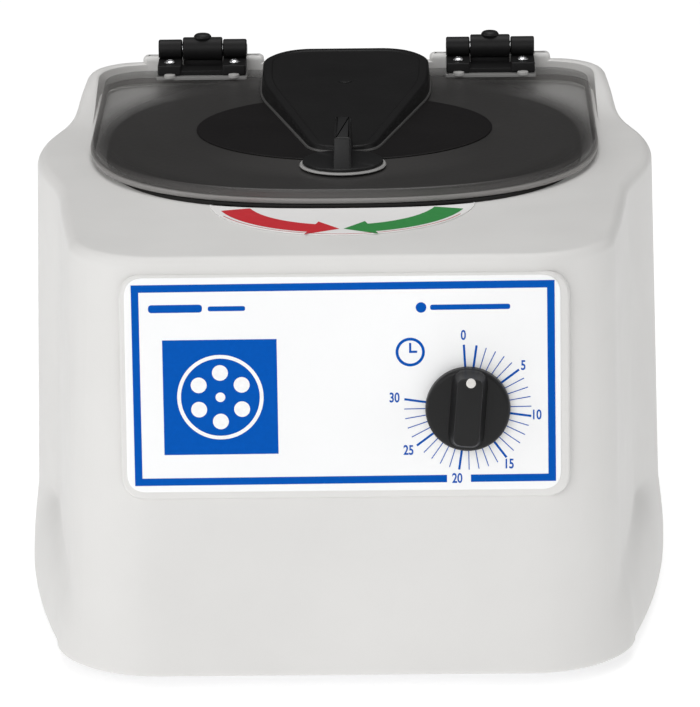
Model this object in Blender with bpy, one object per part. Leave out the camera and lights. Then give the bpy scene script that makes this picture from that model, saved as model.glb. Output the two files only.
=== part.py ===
"""Bench centrifuge: a moulded housing with a bowl, a hinged translucent lid and a wind-up timer.

Metres, +Z up, the front faces -Y. The origin is under the middle of the machine, on the bench.
"""

import math

import bmesh
import bpy
from mathutils import Matrix, Vector

# ---------------------------------------------------------------- driving dimensions
GAP = 0.0003  # clearance between pieces that touch
CUT_PAST = 0.010  # how far a cutter runs past what it cuts
DECK_Z = 0.200  # flat top of the housing
BASE_Z = 0.006  # lower edge of the housing
WALL = 0.003
BOWL_Y = 0.0397  # rotor axis
BACK_Y = 0.1872  # rear wall

# front face, which leans back
FRONT_BASE_Y = -0.1783
LEAN_RISE = 0.188
LEAN_RUN = 0.015
LEAN = math.atan2(LEAN_RUN, LEAN_RISE)

# plan of the housing: a box with bowed sides, a round bulge at the bowl and a wider foot
PLAN_MID_Y = 0.0467
CORE_HALF = 0.137
CORE_BOW = 1.2
CORE_FRONT_CORNER = 0.042
CORE_BACK_CORNER = 0.028
BULGE_R = 0.1488
BULGE_BLEND = 0.009
BULGE_BACK_Y = 0.172
DRAFT = 0.0236
FOOT_HALF = 0.1550
FOOT_BOW = 0.755
FOOT_CORNER = 0.045
FOOT_SETBACK = 0.004
FOOT_BLEND = 0.004
SHOULDER_WIDTH = 0.018
SHOULDER_HEIGHT = 0.042
DECK_FILLET = 0.005
BASE_FILLET = 0.0018
HOUSING_POINTS = 64
CURVE_WEIGHT = 0.045  # how strongly points gather on corners, in metres per radian
WALL_LEVELS = (0.018, 0.030, 0.043, 0.058, 0.150)  # between the base and deck fillets

# rear collar that rises round the back of the lid
COLLAR_START_Y = 0.088
COLLAR_FULL_Y = 0.170
COLLAR_RISE = 0.0112
COLLAR_FILLET = 0.001
HUMP_SIZE = (0.0616, 0.0084)
HUMP_RISE = 0.0034
HUMP_INSET = 0.001
HUMP_BEVEL = 0.0022

# lid
LID_MID_Y = 0.0462
LID_HALF = 0.122
LID_REACH = 0.1205
LID_POWER = 2.5
LID_BACK_Y = 0.1747
LID_CORNER = 0.021
LID_TOP_Z = 0.2085
LID_PLATE = 0.004
LID_RIM_Z = 0.2019
LID_STEP = 0.001
LID_STEP_Z = 0.2042
LID_RIM_WIDTH = 0.005
LID_EDGE_R = 0.0012
LID_POINTS = 48
POCKET_GAP = 0.0032

# seal and bowl
SEAL_HALF = 0.1195
SEAL_REACH = 0.1205
SEAL_INNER_R = 0.1120
SEAL_HEIGHT = 0.0012
OPENING_R = 0.1105
BOWL_R = 0.108
BOWL_WALL = 0.0015
BOWL_FLOOR_Z = 0.084
BOWL_FILLET = 0.014
BOWL_FLANGE_R = 0.118
BOWL_HUB_GAP = 0.003
BOWL_POINTS = 32

# latch
LATCH_Y = -0.0313
KNOB_R = 0.0193
KNOB_DISC = 0.007
KNOB_BAR_WIDTH = 0.0085
KNOB_BAR_FRONT = 0.0190
KNOB_BAR_BACK = 0.0285
KNOB_BAR_LIFT = 0.002
KNOB_BAR_ROUND = 0.0012
KNOB_TOP_Z = 0.2255
KNOB_EDGE = 0.001
FLANGE_R = 0.0205
FLANGE_HEIGHT = 0.0010
FLANGE_EDGE = 0.0004
LATCH_HOLE_R = 0.0044
LATCH_SHAFT_R = 0.004
TONGUE_Z = 0.187
TONGUE_THICK = 0.0025
TONGUE_LENGTH = 0.0325
TONGUE_WIDTH = 0.012
TONGUE_TAPER = 0.003
STRIKE_HALF = 0.012
STRIKE_THICK = 0.002
STRIKE_REACH = 0.0119
STRIKE_DROP = 0.024
STRIKE_GAP = 0.0015
STRIKE_WALL_GAP = 0.0016

# dark disc and cover on the lid
DISC_R = 0.0718
DISC_THICK = 0.0004
DISC_NOTCH_GAP = 0.001
COVER_FRONT_Y = 0.0007
COVER_FRONT_HALF = 0.0185
COVER_HALF = 0.0412
COVER_SIDE_Y = 0.084
COVER_SHOULDER_Y = 0.1427
COVER_BACK_Y = 0.1683
COVER_BACK_HALF = 0.0215
COVER_FRONT_Z = 0.2128
COVER_BACK_Z = 0.2207
COVER_BEVEL = 0.0012
COVER_ROUND = 0.004
COVER_SIDE_LEAN = 0.0006

# hinges
HINGE_X = 0.073
HINGE_Y = 0.1727
HINGE_Z = 0.220
HINGE_WIDTH = 0.0447
KNUCKLE_R = 0.0057
MIDDLE_R = 0.0066
MIDDLE_WIDTH = 0.020
PIN_R = 0.002
PIN_CLEAR = 0.0001
KNUCKLE_GAP = 0.0004
HINGE_EDGE = 0.0005
WEB_THICK = 0.002
LEAF_THICK = 0.005
LEAF_FRONT_Y = 0.1537
PAD_THICK = 0.0014
PAD_FRONT_Y = 0.1512
PAD_MARGIN = 0.0006
LEAF_SCREW_X = 0.0162
LEAF_SCREW_Y = 0.1602
SCREW_HEAD_R = 0.0028
SCREW_HEAD_HEIGHT = 0.0012
CAP_SCREW_R = 0.0045
CAP_SCREW_HEIGHT = 0.0026

# front panel, measured along the leaning face from its top edge
PANEL_X = 0.001
PANEL_TOP_Z = 0.194
PAD_HALF_WIDTH = 0.102
PAD_HALF_HEIGHT = 0.053
PAD_CORNER = 0.010
PAD_RAISE = 0.0018
PAD_BEVEL = 0.0011
LABEL_HALF_WIDTH = 0.0980
LABEL_HALF_HEIGHT = 0.0490
LABEL_CORNER = 0.0065
LABEL_THICK = 0.0005
DIAL_X = 0.0567
DIAL_DROP = 0.0632
BUSH_R = 0.0048
TIMER_SHAFT_R = 0.003
TIMER_KNOB_R = 0.0193
TIMER_KNOB_HEIGHT = 0.0169
TIMER_KNOB_EDGE = 0.0014
TIMER_KNOB_ROUND = 0.0016
TIMER_BORE_DEPTH = 0.0126
TIMER_SHAFT_IN = 0.011
TIMER_CASE_ROUND = 0.002
TIMER_SKIRT = 0.0055
TIMER_RIDGE = 0.0150
TIMER_BACK_GAP = 0.0014
TIMER_BODY = (0.048, 0.050, 0.030)
NUT_R = 0.0075
NUT_HEIGHT = 0.0025
NUT_EDGE = 0.0006
NUT_ROOM = 0.0015

# deck label, a segment of a circle in front of the lid
SIGN_R = 0.0621
SIGN_FRONT_Y = -0.1259
SIGN_CLEAR = 0.0006
SIGN_SPAN = math.radians(29.3)
SIGN_THICK = 0.0003

# rotor: a fixed-angle cone with six sleeves
SLEEVES = 6
TILT = math.radians(35)
MOUTH_R = 0.040
MOUTH_Z = 0.1648
SLEEVE_R = 0.0085
SLEEVE_BORE_R = 0.0073
SLEEVE_LENGTH = 0.078
SLEEVE_RIM_R = 0.0103
SLEEVE_RIM = 0.0015
SLEEVE_END_ROUND = 0.004
ROTOR_POINTS = 24
ROTOR_HUB_Z = 0.150
ROTOR_UNDER_Z = 0.116
ROTOR_PROFILE = [  # radius and height, from the hub over the rim to the underside
    (0.0180, ROTOR_HUB_Z),
    (0.0225, 0.1536),
    (0.0550, 0.1764),
    (0.0600, 0.1758),
    (0.0790, 0.1490),
    (0.0775, 0.1440),
    (0.0330, 0.1180),
]
SHAFT_R = 0.004
SHAFT_BOTTOM_Z = 0.060
SHAFT_TOP_Z = 0.158
SHAFT_EDGE = 0.0008
ROTOR_NUT_R = 0.011
ROTOR_NUT_HEIGHT = 0.0117
ROTOR_NUT_EDGE = 0.002

# drive
MOTOR_R = 0.041
MOTOR_BOTTOM_Z = 0.018
MOTOR_TOP_Z = 0.070
MOTOR_FLANGE_R = 0.052
MOTOR_EDGE = 0.005
MOTOR_SHAFT_ROOM = 0.002
MOTOR_PLATE_GAP = 0.001
MOUNT_Z = 0.045
MOUNT_THICK = 0.003
MOUNT_R = 0.072
ISOLATOR_R = 0.009
ISOLATOR_CIRCLE = 0.062
BASE_PLATE = 0.003
BASE_PLATE_GAP = 0.0016
FOOT_X = 0.105
FOOT_FRONT_Y = -0.135
FOOT_BACK_Y = 0.150
RUBBER_FOOT_R = 0.011
RUBBER_FOOT_EDGE = 0.001
VENT_SLOTS = 8
VENT_CIRCLE = 0.052
VENT_SIZE = (0.006, 0.024)

# rear inlet
INLET_X = 0.075
INLET_Z = 0.050
INLET_FLANGE = (0.034, 0.052)
INLET_BODY = (0.028, 0.044)
INLET_DEPTH = 0.026
INLET_FLANGE_THICK = 0.0022
INLET_EDGE = 0.0005
SOCKET_SIZE = (0.022, 0.016)
SOCKET_DEPTH = 0.016
SOCKET_RISE = 0.0095
DRAWER_SIZE = (0.020, 0.012)
DRAWER_DEPTH = 0.018
DRAWER_FALL = 0.0105

# colours
HOUSING_WHITE = (0.80, 0.78, 0.76)
LABEL_WHITE = (0.93, 0.93, 0.94)
BLACK = (0.020, 0.020, 0.022)
SMOKE = (0.16, 0.16, 0.17)
GREY = (0.30, 0.30, 0.31)
STEEL = (0.62, 0.62, 0.64)
ROTOR_BLUE = (0.05, 0.09, 0.22)


# ---------------------------------------------------------------- general helpers
def clear_scene():
    for thing in list(bpy.data.objects):
        bpy.data.objects.remove(thing, do_unlink=True)


def material(name, colour, roughness, metallic=0.0):
    made = bpy.data.materials.new(name)
    made.use_nodes = True
    shader = made.node_tree.nodes["Principled BSDF"]
    shader.inputs["Base Color"].default_value = (*colour, 1.0)
    shader.inputs["Roughness"].default_value = roughness
    shader.inputs["Metallic"].default_value = metallic
    return made


def add_object(name, mesh_data, colour, roughness, metallic=0.0, smooth_angle=32.0):
    made = bpy.data.objects.new(name, mesh_data)
    bpy.context.collection.objects.link(made)
    if colour is not None:
        mesh_data.materials.clear()
        mesh_data.materials.append(material(name, colour, roughness, metallic))
    mesh_data.shade_smooth()
    mesh_data.set_sharp_from_angle(angle=math.radians(smooth_angle))
    return made


def mesh_from(name, vertices, faces):
    data = bpy.data.meshes.new(name)
    data.from_pydata([tuple(v) for v in vertices], [], faces)
    shell = bmesh.new()
    shell.from_mesh(data)
    bmesh.ops.recalc_face_normals(shell, faces=shell.faces)
    shell.to_mesh(data)
    shell.free()
    return data


def loft(name, rings, loop=False):
    """A closed skin through rings of equal length: a torus if loop, otherwise with flat ends."""
    count = len(rings[0])
    vertices = [point for ring in rings for point in ring]
    faces = []
    last = len(rings) if loop else len(rings) - 1
    for i in range(last):
        low = i * count
        high = ((i + 1) % len(rings)) * count
        for j in range(count):
            k = (j + 1) % count
            faces.append((low + j, low + k, high + k, high + j))
    if not loop:
        top = (len(rings) - 1) * count
        faces.append(tuple(range(count)))
        faces.append(tuple(top + j for j in range(count)))
    return mesh_from(name, vertices, faces)


def circle(radius, z, count, centre=(0.0, 0.0), start=0.0):
    steps = [start + math.tau * i / count for i in range(count)]
    return [(centre[0] + radius * math.cos(a), centre[1] + radius * math.sin(a), z) for a in steps]


def turned(name, profile, count, centre=(0.0, 0.0), loop=False):
    """Turns (radius, z) points round a vertical axis."""
    return loft(name, [circle(r, z, count, centre) for r, z in profile], loop)


def slab(name, outline, low, high, bevel=0.0, segments=2):
    """An upright prism over a plan outline, its top edge rounded where bevel is given."""
    data = loft(name, [[(x, y, z) for x, y in outline] for z in (low, high)])
    if bevel:
        round_edges(data, bevel, segments, lambda edge: min(v.co.z for v in edge.verts) > high - 1e-6)
    return data


def round_edges(data, width, segments, wanted):
    work = bmesh.new()
    work.from_mesh(data)
    edges = [edge for edge in work.edges if wanted(edge)]
    bmesh.ops.bevel(work, geom=edges, offset=width, segments=segments, profile=0.5, affect="EDGES")
    work.to_mesh(data)
    work.free()


def block(name, low, high, bevel=0.0, segments=2):
    """A box between two corners with all its edges rounded."""
    outline = [(low[0], low[1]), (high[0], low[1]), (high[0], high[1]), (low[0], high[1])]
    data = loft(name, [[(x, y, z) for x, y in outline] for z in (low[2], high[2])])
    if bevel:
        round_edges(data, bevel, segments, lambda edge: True)
    return data


def rounded_rectangle(half_x, half_y, radius, arc_points=5, centre=(0.0, 0.0)):
    points = []
    corners = ((1, 1, 0), (-1, 1, 90), (-1, -1, 180), (1, -1, 270))
    for sign_x, sign_y, start in corners:
        for i in range(arc_points):
            angle = math.radians(start + 90.0 * i / (arc_points - 1))
            x = centre[0] + sign_x * (half_x - radius) + radius * math.cos(angle)
            y = centre[1] + sign_y * (half_y - radius) + radius * math.sin(angle)
            points.append((x, y))
    return points


def combine(target, other_data, operation):
    """Cuts, joins or intersects a mesh with another and keeps the result as the object's own mesh."""
    tool = bpy.data.objects.new("tool", other_data)
    bpy.context.collection.objects.link(tool)
    step = target.modifiers.new(operation, "BOOLEAN")
    step.operation = operation
    step.object = tool
    step.solver = "EXACT"
    scene_state = bpy.context.evaluated_depsgraph_get()
    result = bpy.data.meshes.new_from_object(target.evaluated_get(scene_state))
    target.modifiers.clear()
    target.data = result
    bpy.data.objects.remove(tool, do_unlink=True)


def placed(data, matrix):
    data.transform(matrix)
    return data


def ramp(value, low, high):
    t = min(max((value - low) / (high - low), 0.0), 1.0)
    return t * t * (3.0 - 2.0 * t)


# ---------------------------------------------------------------- plan outlines
def front_y(z):
    return FRONT_BASE_Y + (z - BASE_Z) * LEAN_RUN / LEAN_RISE


def bowed_box(half, bow, corners, front, back, steps=9):
    """Half outline, front to back at x >= 0, of a box with bowed sides and round corners."""

    def side_x(y):
        return half - (y - PLAN_MID_Y) ** 2 / (2.0 * bow)

    points = [(0.0, front)]
    for sign, end, corner in ((-1.0, front, corners[0]), (1.0, back, corners[1])):
        centre_y = end - sign * corner
        centre_x = side_x(centre_y) - corner
        arc = []
        for i in range(steps):
            angle = math.pi / 2.0 * i / (steps - 1)
            arc.append((centre_x + corner * math.sin(angle), centre_y + sign * corner * math.cos(angle)))
        if sign > 0.0:
            start_y = points[-1][1]
            stretch = [start_y + (centre_y - start_y) * i / steps for i in range(1, steps)]
            points.extend((side_x(y), y) for y in stretch)
            arc.reverse()
        points.extend(arc)
    points.append((0.0, back))
    return points


def reach_along(outline, angle):
    """How far the half outline lies from the origin in a direction measured from the front."""
    for (x0, y0), (x1, y1) in zip(outline, outline[1:]):
        dx, dy = math.sin(angle), -math.cos(angle)
        cross = dx * (y1 - y0) - dy * (x1 - x0)
        if abs(cross) < 1e-12:
            continue
        along = (x0 * (y1 - y0) - y0 * (x1 - x0)) / cross
        part = (x0 * dy - y0 * dx) / cross
        if along > 0.0 and -1e-6 <= part <= 1.0 + 1e-6:
            return along
    raise ValueError("the outline has a gap")


def soft_max(a, b, blend):
    share = max(blend - abs(a - b), 0.0) / blend
    return max(a, b) + share * share * blend / 4.0


def circle_reach(radius, centre_y, angle):
    along = -math.cos(angle) * centre_y
    return along + math.sqrt(radius ** 2 - (centre_y * math.sin(angle)) ** 2)


def housing_reach(angle, z):
    spread = (DECK_Z - z) * DRAFT
    corners = (CORE_FRONT_CORNER, CORE_BACK_CORNER)
    core = bowed_box(CORE_HALF + spread, CORE_BOW, corners, front_y(z), BACK_Y)
    reach = reach_along(core, angle)
    bulge = circle_reach(BULGE_R + spread, BOWL_Y, angle)
    if math.cos(angle) < 0.0:
        bulge = min(bulge, -BULGE_BACK_Y / math.cos(angle))
    reach = soft_max(reach, bulge, BULGE_BLEND)
    climb = (z - BASE_Z) / SHOULDER_HEIGHT
    if climb < 1.0:
        inset = SHOULDER_WIDTH * (1.0 - math.sqrt(1.0 - climb ** 2))
        front = front_y(z) + FOOT_SETBACK + inset
        back = BACK_Y - FOOT_SETBACK - inset
        foot = bowed_box(FOOT_HALF - inset, FOOT_BOW, (FOOT_CORNER, FOOT_CORNER), front, back)
        reach = soft_max(reach, reach_along(foot, angle), FOOT_BLEND)
    return reach


def housing_angles():
    """Directions spread by length and by curvature of the plan, so corners get more points."""
    fine = 720
    angles = [math.pi * i / fine for i in range(fine + 1)]
    level = DECK_Z - DECK_FILLET
    points = [Vector((math.sin(a), -math.cos(a))) * housing_reach(a, level) for a in angles]
    weight = [0.0]
    for i in range(1, fine + 1):
        length = (points[i] - points[i - 1]).length
        turn = 0.0
        if i < fine:
            turn = abs((points[i] - points[i - 1]).angle_signed(points[i + 1] - points[i]))
        weight.append(weight[-1] + length + CURVE_WEIGHT * turn)
    half = HOUSING_POINTS // 2
    chosen = []
    j = 0
    for i in range(half + 1):
        goal = weight[-1] * i / half
        while j < fine and weight[j] < goal:
            j += 1
        chosen.append(angles[j])
    return chosen + [math.tau - a for a in reversed(chosen[1:-1])]


def inset_ring(points, distance):
    """Moves each point of a plan outline inwards along its normal."""
    moved = []
    count = len(points)
    for i in range(count):
        before = Vector(points[i - 1])
        after = Vector(points[(i + 1) % count])
        along = (after - before).normalized()
        normal = Vector((-along.y, along.x))
        moved.append(tuple(Vector(points[i]) + normal * distance))
    return moved


def housing_ring(angles, z, inset=0.0):
    plan = []
    for angle in angles:
        mirrored = angle if angle <= math.pi else math.tau - angle
        reach = housing_reach(mirrored, z)
        plan.append((reach * math.sin(angle), -reach * math.cos(angle)))
    return inset_ring(plan, inset) if inset else plan


def lid_outline(grow=0.0, count=LID_POINTS):
    """Superellipse front, straight sides and round back corners, counter-clockwise from the front."""
    half = LID_HALF + grow
    reach = LID_REACH + grow
    back = LID_BACK_Y + grow
    corner = LID_CORNER + grow
    right = []
    quarter = count // 4
    for i in range(quarter):
        angle = math.pi / 2.0 * i / quarter
        x = half * math.sin(angle) ** (2.0 / LID_POWER)
        y = LID_MID_Y - reach * math.cos(angle) ** (2.0 / LID_POWER)
        right.append((x, y))
    straight = count // 12
    for i in range(straight):
        right.append((half, LID_MID_Y + (back - corner - LID_MID_Y) * i / straight))
    arc = count // 2 - quarter - straight - 3
    for i in range(arc + 1):
        angle = math.pi / 2.0 * i / arc
        right.append((half - corner + corner * math.cos(angle), back - corner + corner * math.sin(angle)))
    for i in range(1, 3):
        right.append(((half - corner) * (1.0 - i / 3.0), back))
    left = [(-x, y) for x, y in reversed(right[1:])]
    return right + [(0.0, back)] + left


def at_angles(outline, angles, centre_y):
    """The points where rays from (0, centre_y) at the housing's own directions meet an outline."""
    found = []
    closed = outline + outline[:1]
    for angle in angles:
        direction = Vector((math.sin(angle), -math.cos(angle)))
        best = None
        for (x0, y0), (x1, y1) in zip(closed, closed[1:]):
            edge = Vector((x1 - x0, y1 - y0))
            start = Vector((x0, y0 - centre_y))
            cross = direction.x * edge.y - direction.y * edge.x
            if abs(cross) < 1e-12:
                continue
            along = (start.x * edge.y - start.y * edge.x) / cross
            part = (start.x * direction.y - start.y * direction.x) / cross
            if along > 0.0 and -1e-6 <= part <= 1.0 + 1e-6:
                best = along if best is None else min(best, along)
        found.append((direction.x * best, centre_y + direction.y * best))
    return found


# ---------------------------------------------------------------- housing
def panel_matrix(x=PANEL_X, drop=PAD_HALF_HEIGHT, out=0.0):
    """Local X to the right, Y up the leaning front face and Z straight out of it."""
    origin = Vector((x, front_y(PANEL_TOP_Z), PANEL_TOP_Z))
    up = Vector((0.0, math.sin(LEAN), math.cos(LEAN)))
    outward = Vector((0.0, -math.cos(LEAN), math.sin(LEAN)))
    place = origin - up * drop + outward * out
    axes = Matrix((Vector((1.0, 0.0, 0.0)), up, outward)).transposed().to_4x4()
    return Matrix.Translation(place) @ axes


def collar_ramp(y):
    return ramp(y, COLLAR_START_Y, COLLAR_FULL_Y)


def housing_rings():
    """Rings up the outside, across the deck to the opening, and back down the inside."""
    angles = housing_angles()
    rings = []
    for z, inset in ((BASE_Z, BASE_FILLET), (BASE_Z + BASE_FILLET, 0.0)):
        rings.append([(x, y, z) for x, y in housing_ring(angles, z, inset)])
    for z in WALL_LEVELS:
        rings.append([(x, y, z) for x, y in housing_ring(angles, z)])

    rim = housing_ring(angles, DECK_Z - DECK_FILLET)
    fillet_steps = 3
    for i in range(fillet_steps + 1):
        angle = math.pi / 2.0 * i / fillet_steps
        unit = inset_ring(rim, 1.0)
        ring = []
        for (x, y), (inner_x, inner_y) in zip(rim, unit):
            radius = DECK_FILLET + COLLAR_FILLET * collar_ramp(y)
            inset = radius * (1.0 - math.cos(angle))
            top = DECK_Z + COLLAR_RISE * collar_ramp(y)
            z = top - radius + radius * math.sin(angle)
            ring.append((x + (inner_x - x) * inset, y + (inner_y - y) * inset, z))
        rings.append(ring)

    pocket = at_angles(lid_outline(POCKET_GAP), angles, 0.0)
    rings.append([(x, y, DECK_Z + COLLAR_RISE * collar_ramp(y)) for x, y in pocket])
    rings.append([(x, y, DECK_Z) for x, y in at_angles(lid_outline(POCKET_GAP * 0.9), angles, 0.0)])

    opening = []
    for angle in angles:
        reach = circle_reach(OPENING_R, BOWL_Y, angle)
        opening.append((reach * math.sin(angle), -reach * math.cos(angle)))
    under = DECK_Z - WALL
    rings.append([(x, y, DECK_Z) for x, y in opening])
    rings.append([(x, y, under) for x, y in opening])
    rings.append([(x, y, under) for x, y in inset_ring(rim, DECK_FILLET + WALL)])
    rings.append([(x, y, under - DECK_FILLET) for x, y in inset_ring(rim, WALL)])
    for z in (WALL_LEVELS[3], WALL_LEVELS[2], WALL_LEVELS[0]):
        rings.append([(x, y, z) for x, y in housing_ring(angles, z, WALL)])
    rings.append([(x, y, BASE_Z) for x, y in housing_ring(angles, BASE_Z, WALL)])
    return rings


def hump_top():
    return DECK_Z + COLLAR_RISE + HUMP_RISE


def build_housing():
    shell = add_object("housing", loft("housing", housing_rings(), loop=True), None, 0.0)
    pad = [[(x, y, z) for x, y in outline] for outline, z in panel_pad_levels()]
    combine(shell, placed(loft("pad", pad), panel_matrix()), "UNION")
    width, depth = HUMP_SIZE
    for side in (-1.0, 1.0):
        low = (side * HINGE_X - width / 2.0, BACK_Y - HUMP_INSET - depth, DECK_Z)
        high = (side * HINGE_X + width / 2.0, BACK_Y - HUMP_INSET, hump_top())
        combine(shell, block("hump", low, high, HUMP_BEVEL), "UNION")
    hole = turned("hole", [(BUSH_R + 2.0 * GAP, -CUT_PAST), (BUSH_R + 2.0 * GAP, CUT_PAST)], 24)
    combine(shell, placed(hole, panel_matrix(DIAL_X, DIAL_DROP)), "DIFFERENCE")
    half_x, half_z = INLET_BODY[0] / 2.0 + GAP, INLET_BODY[1] / 2.0 + GAP
    low = (INLET_X - half_x, BACK_Y - CUT_PAST, INLET_Z - half_z)
    high = (INLET_X + half_x, BACK_Y + CUT_PAST, INLET_Z + half_z)
    combine(shell, block("inlet_hole", low, high), "DIFFERENCE")
    return finish_object(shell, HOUSING_WHITE, 0.45)


def finish_object(thing, colour, roughness, metallic=0.0, smooth_angle=32.0):
    """Gives a finished Boolean result its material and smooth shading."""
    data = thing.data
    data.materials.clear()
    data.materials.append(material(thing.name, colour, roughness, metallic))
    data.shade_smooth()
    data.set_sharp_from_angle(angle=math.radians(smooth_angle))
    return thing


def panel_pad_levels():
    full = (PAD_HALF_WIDTH, PAD_HALF_HEIGHT, PAD_CORNER)
    less = tuple(value - PAD_BEVEL for value in full)
    soft = tuple(value - PAD_BEVEL * 0.3 for value in full)
    return [
        (rounded_rectangle(*full), -WALL * 0.6),
        (rounded_rectangle(*full), PAD_RAISE - PAD_BEVEL),
        (rounded_rectangle(*soft), PAD_RAISE - PAD_BEVEL * 0.3),
        (rounded_rectangle(*less), PAD_RAISE),
    ]


def build_base():
    angles = housing_angles()
    low = BASE_Z + 2.0 * GAP
    high = low + BASE_PLATE
    plan = housing_ring(angles, low, WALL + BASE_PLATE_GAP)
    plate = add_object("base_plate", slab("base_plate", plan[::2], low, high), None, 0.0)
    for i in range(VENT_SLOTS):
        half_x, half_y = VENT_SIZE[0] / 2.0, VENT_SIZE[1] / 2.0
        slot_low = (-half_x, VENT_CIRCLE - half_y, low - CUT_PAST)
        slot = block("slot", slot_low, (half_x, VENT_CIRCLE + half_y, high + CUT_PAST))
        turn = Matrix.Rotation(math.tau * (i + 0.5) / VENT_SLOTS, 4, "Z")
        combine(plate, placed(slot, Matrix.Translation((0.0, BOWL_Y, 0.0)) @ turn), "DIFFERENCE")
    finish_object(plate, GREY, 0.5, 0.6)
    top = low - GAP
    profile = [
        (RUBBER_FOOT_R - 1.5 * RUBBER_FOOT_EDGE, 0.0),
        (RUBBER_FOOT_R, RUBBER_FOOT_EDGE),
        (RUBBER_FOOT_R, top - 0.5 * RUBBER_FOOT_EDGE),
        (RUBBER_FOOT_R - RUBBER_FOOT_EDGE, top),
    ]
    for name, x, y in (
        ("foot_front_left", -FOOT_X, FOOT_FRONT_Y),
        ("foot_front_right", FOOT_X, FOOT_FRONT_Y),
        ("foot_back_left", -FOOT_X, FOOT_BACK_Y),
        ("foot_back_right", FOOT_X, FOOT_BACK_Y),
    ):
        add_object(name, turned(name, profile, 14, (x, y)), BLACK, 0.8)


# ---------------------------------------------------------------- bowl, seal and deck label
def build_bowl():
    inner = []
    for i in range(4):
        angle = math.pi / 2.0 * i / 3.0
        r = BOWL_R - BOWL_FILLET * (1.0 - math.cos(angle))
        inner.append((r, BOWL_FLOOR_Z + BOWL_WALL + BOWL_FILLET * (1.0 - math.sin(angle))))
    outer = []
    for r, z in reversed(inner):
        reach = (r - BOWL_R + BOWL_FILLET) / BOWL_FILLET
        outer.append((r + BOWL_WALL * reach, z - BOWL_WALL * (1.0 - reach * 0.5)))
    top = DECK_Z - WALL - GAP
    hub = SHAFT_R + BOWL_HUB_GAP
    profile = [(BOWL_R, top)] + inner + [(hub, BOWL_FLOOR_Z + BOWL_WALL), (hub, BOWL_FLOOR_Z)] + outer
    profile += [(BOWL_R + BOWL_WALL, top - BOWL_WALL), (BOWL_FLANGE_R, top - BOWL_WALL), (BOWL_FLANGE_R, top)]
    data = turned("chamber_bowl", profile, BOWL_POINTS, (0.0, BOWL_Y), loop=True)
    add_object("chamber_bowl", data, GREY, 0.45)


def superellipse(half, reach, power, centre_y, angle):
    """The point of a superellipse in a direction measured from the front."""
    s, c = abs(math.sin(angle)), abs(math.cos(angle))
    distance = ((s / half) ** power + (c / reach) ** power) ** (-1.0 / power)
    return distance * math.sin(angle), centre_y - distance * math.cos(angle)


def build_seal():
    angles = [math.tau * i / LID_POINTS for i in range(LID_POINTS)]
    outer = [superellipse(SEAL_HALF, SEAL_REACH, LID_POWER, LID_MID_Y, a) for a in angles]
    inner = [(SEAL_INNER_R * math.sin(a), BOWL_Y - SEAL_INNER_R * math.cos(a)) for a in angles]
    low = DECK_Z + GAP
    high = low + SEAL_HEIGHT
    levels = ((outer, low), (outer, high), (inner, high), (inner, low))
    rings = [[(x, y, z) for x, y in plan] for plan, z in levels]
    add_object("lid_seal", loft("lid_seal", rings, loop=True), BLACK, 0.85)


def build_deck_label():
    centre_y = SIGN_FRONT_Y + SIGN_R
    edge = (SEAL_HALF + SIGN_CLEAR, SEAL_REACH + SIGN_CLEAR, LID_POWER, LID_MID_Y)
    steps = 12
    back = [superellipse(*edge, SIGN_SPAN * (1.0 - 2.0 * i / steps)) for i in range(steps + 1)]
    side_x, side_y = back[0]
    half_arc = math.atan2(side_x, centre_y - side_y)
    front = []
    for i in range(1, 2 * steps):
        angle = half_arc * (i / steps - 1.0)
        front.append((SIGN_R * math.sin(angle), centre_y - SIGN_R * math.cos(angle)))
    outline = back + front
    low = DECK_Z + GAP
    add_object("deck_label", slab("deck_label", outline, low, low + SIGN_THICK), LABEL_WHITE, 0.35)


# ---------------------------------------------------------------- front panel and timer
def build_panel():
    outline = rounded_rectangle(LABEL_HALF_WIDTH, LABEL_HALF_HEIGHT, LABEL_CORNER)
    low = PAD_RAISE + GAP
    data = placed(slab("control_label", outline, low, low + LABEL_THICK), panel_matrix())
    label = add_object("control_label", data, None, 0.0)
    hole = turned("hole", [(BUSH_R + 2.0 * GAP, -CUT_PAST), (BUSH_R + 2.0 * GAP, CUT_PAST)], 24)
    combine(label, placed(hole, panel_matrix(DIAL_X, DIAL_DROP)), "DIFFERENCE")
    finish_object(label, LABEL_WHITE, 0.3)


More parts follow.
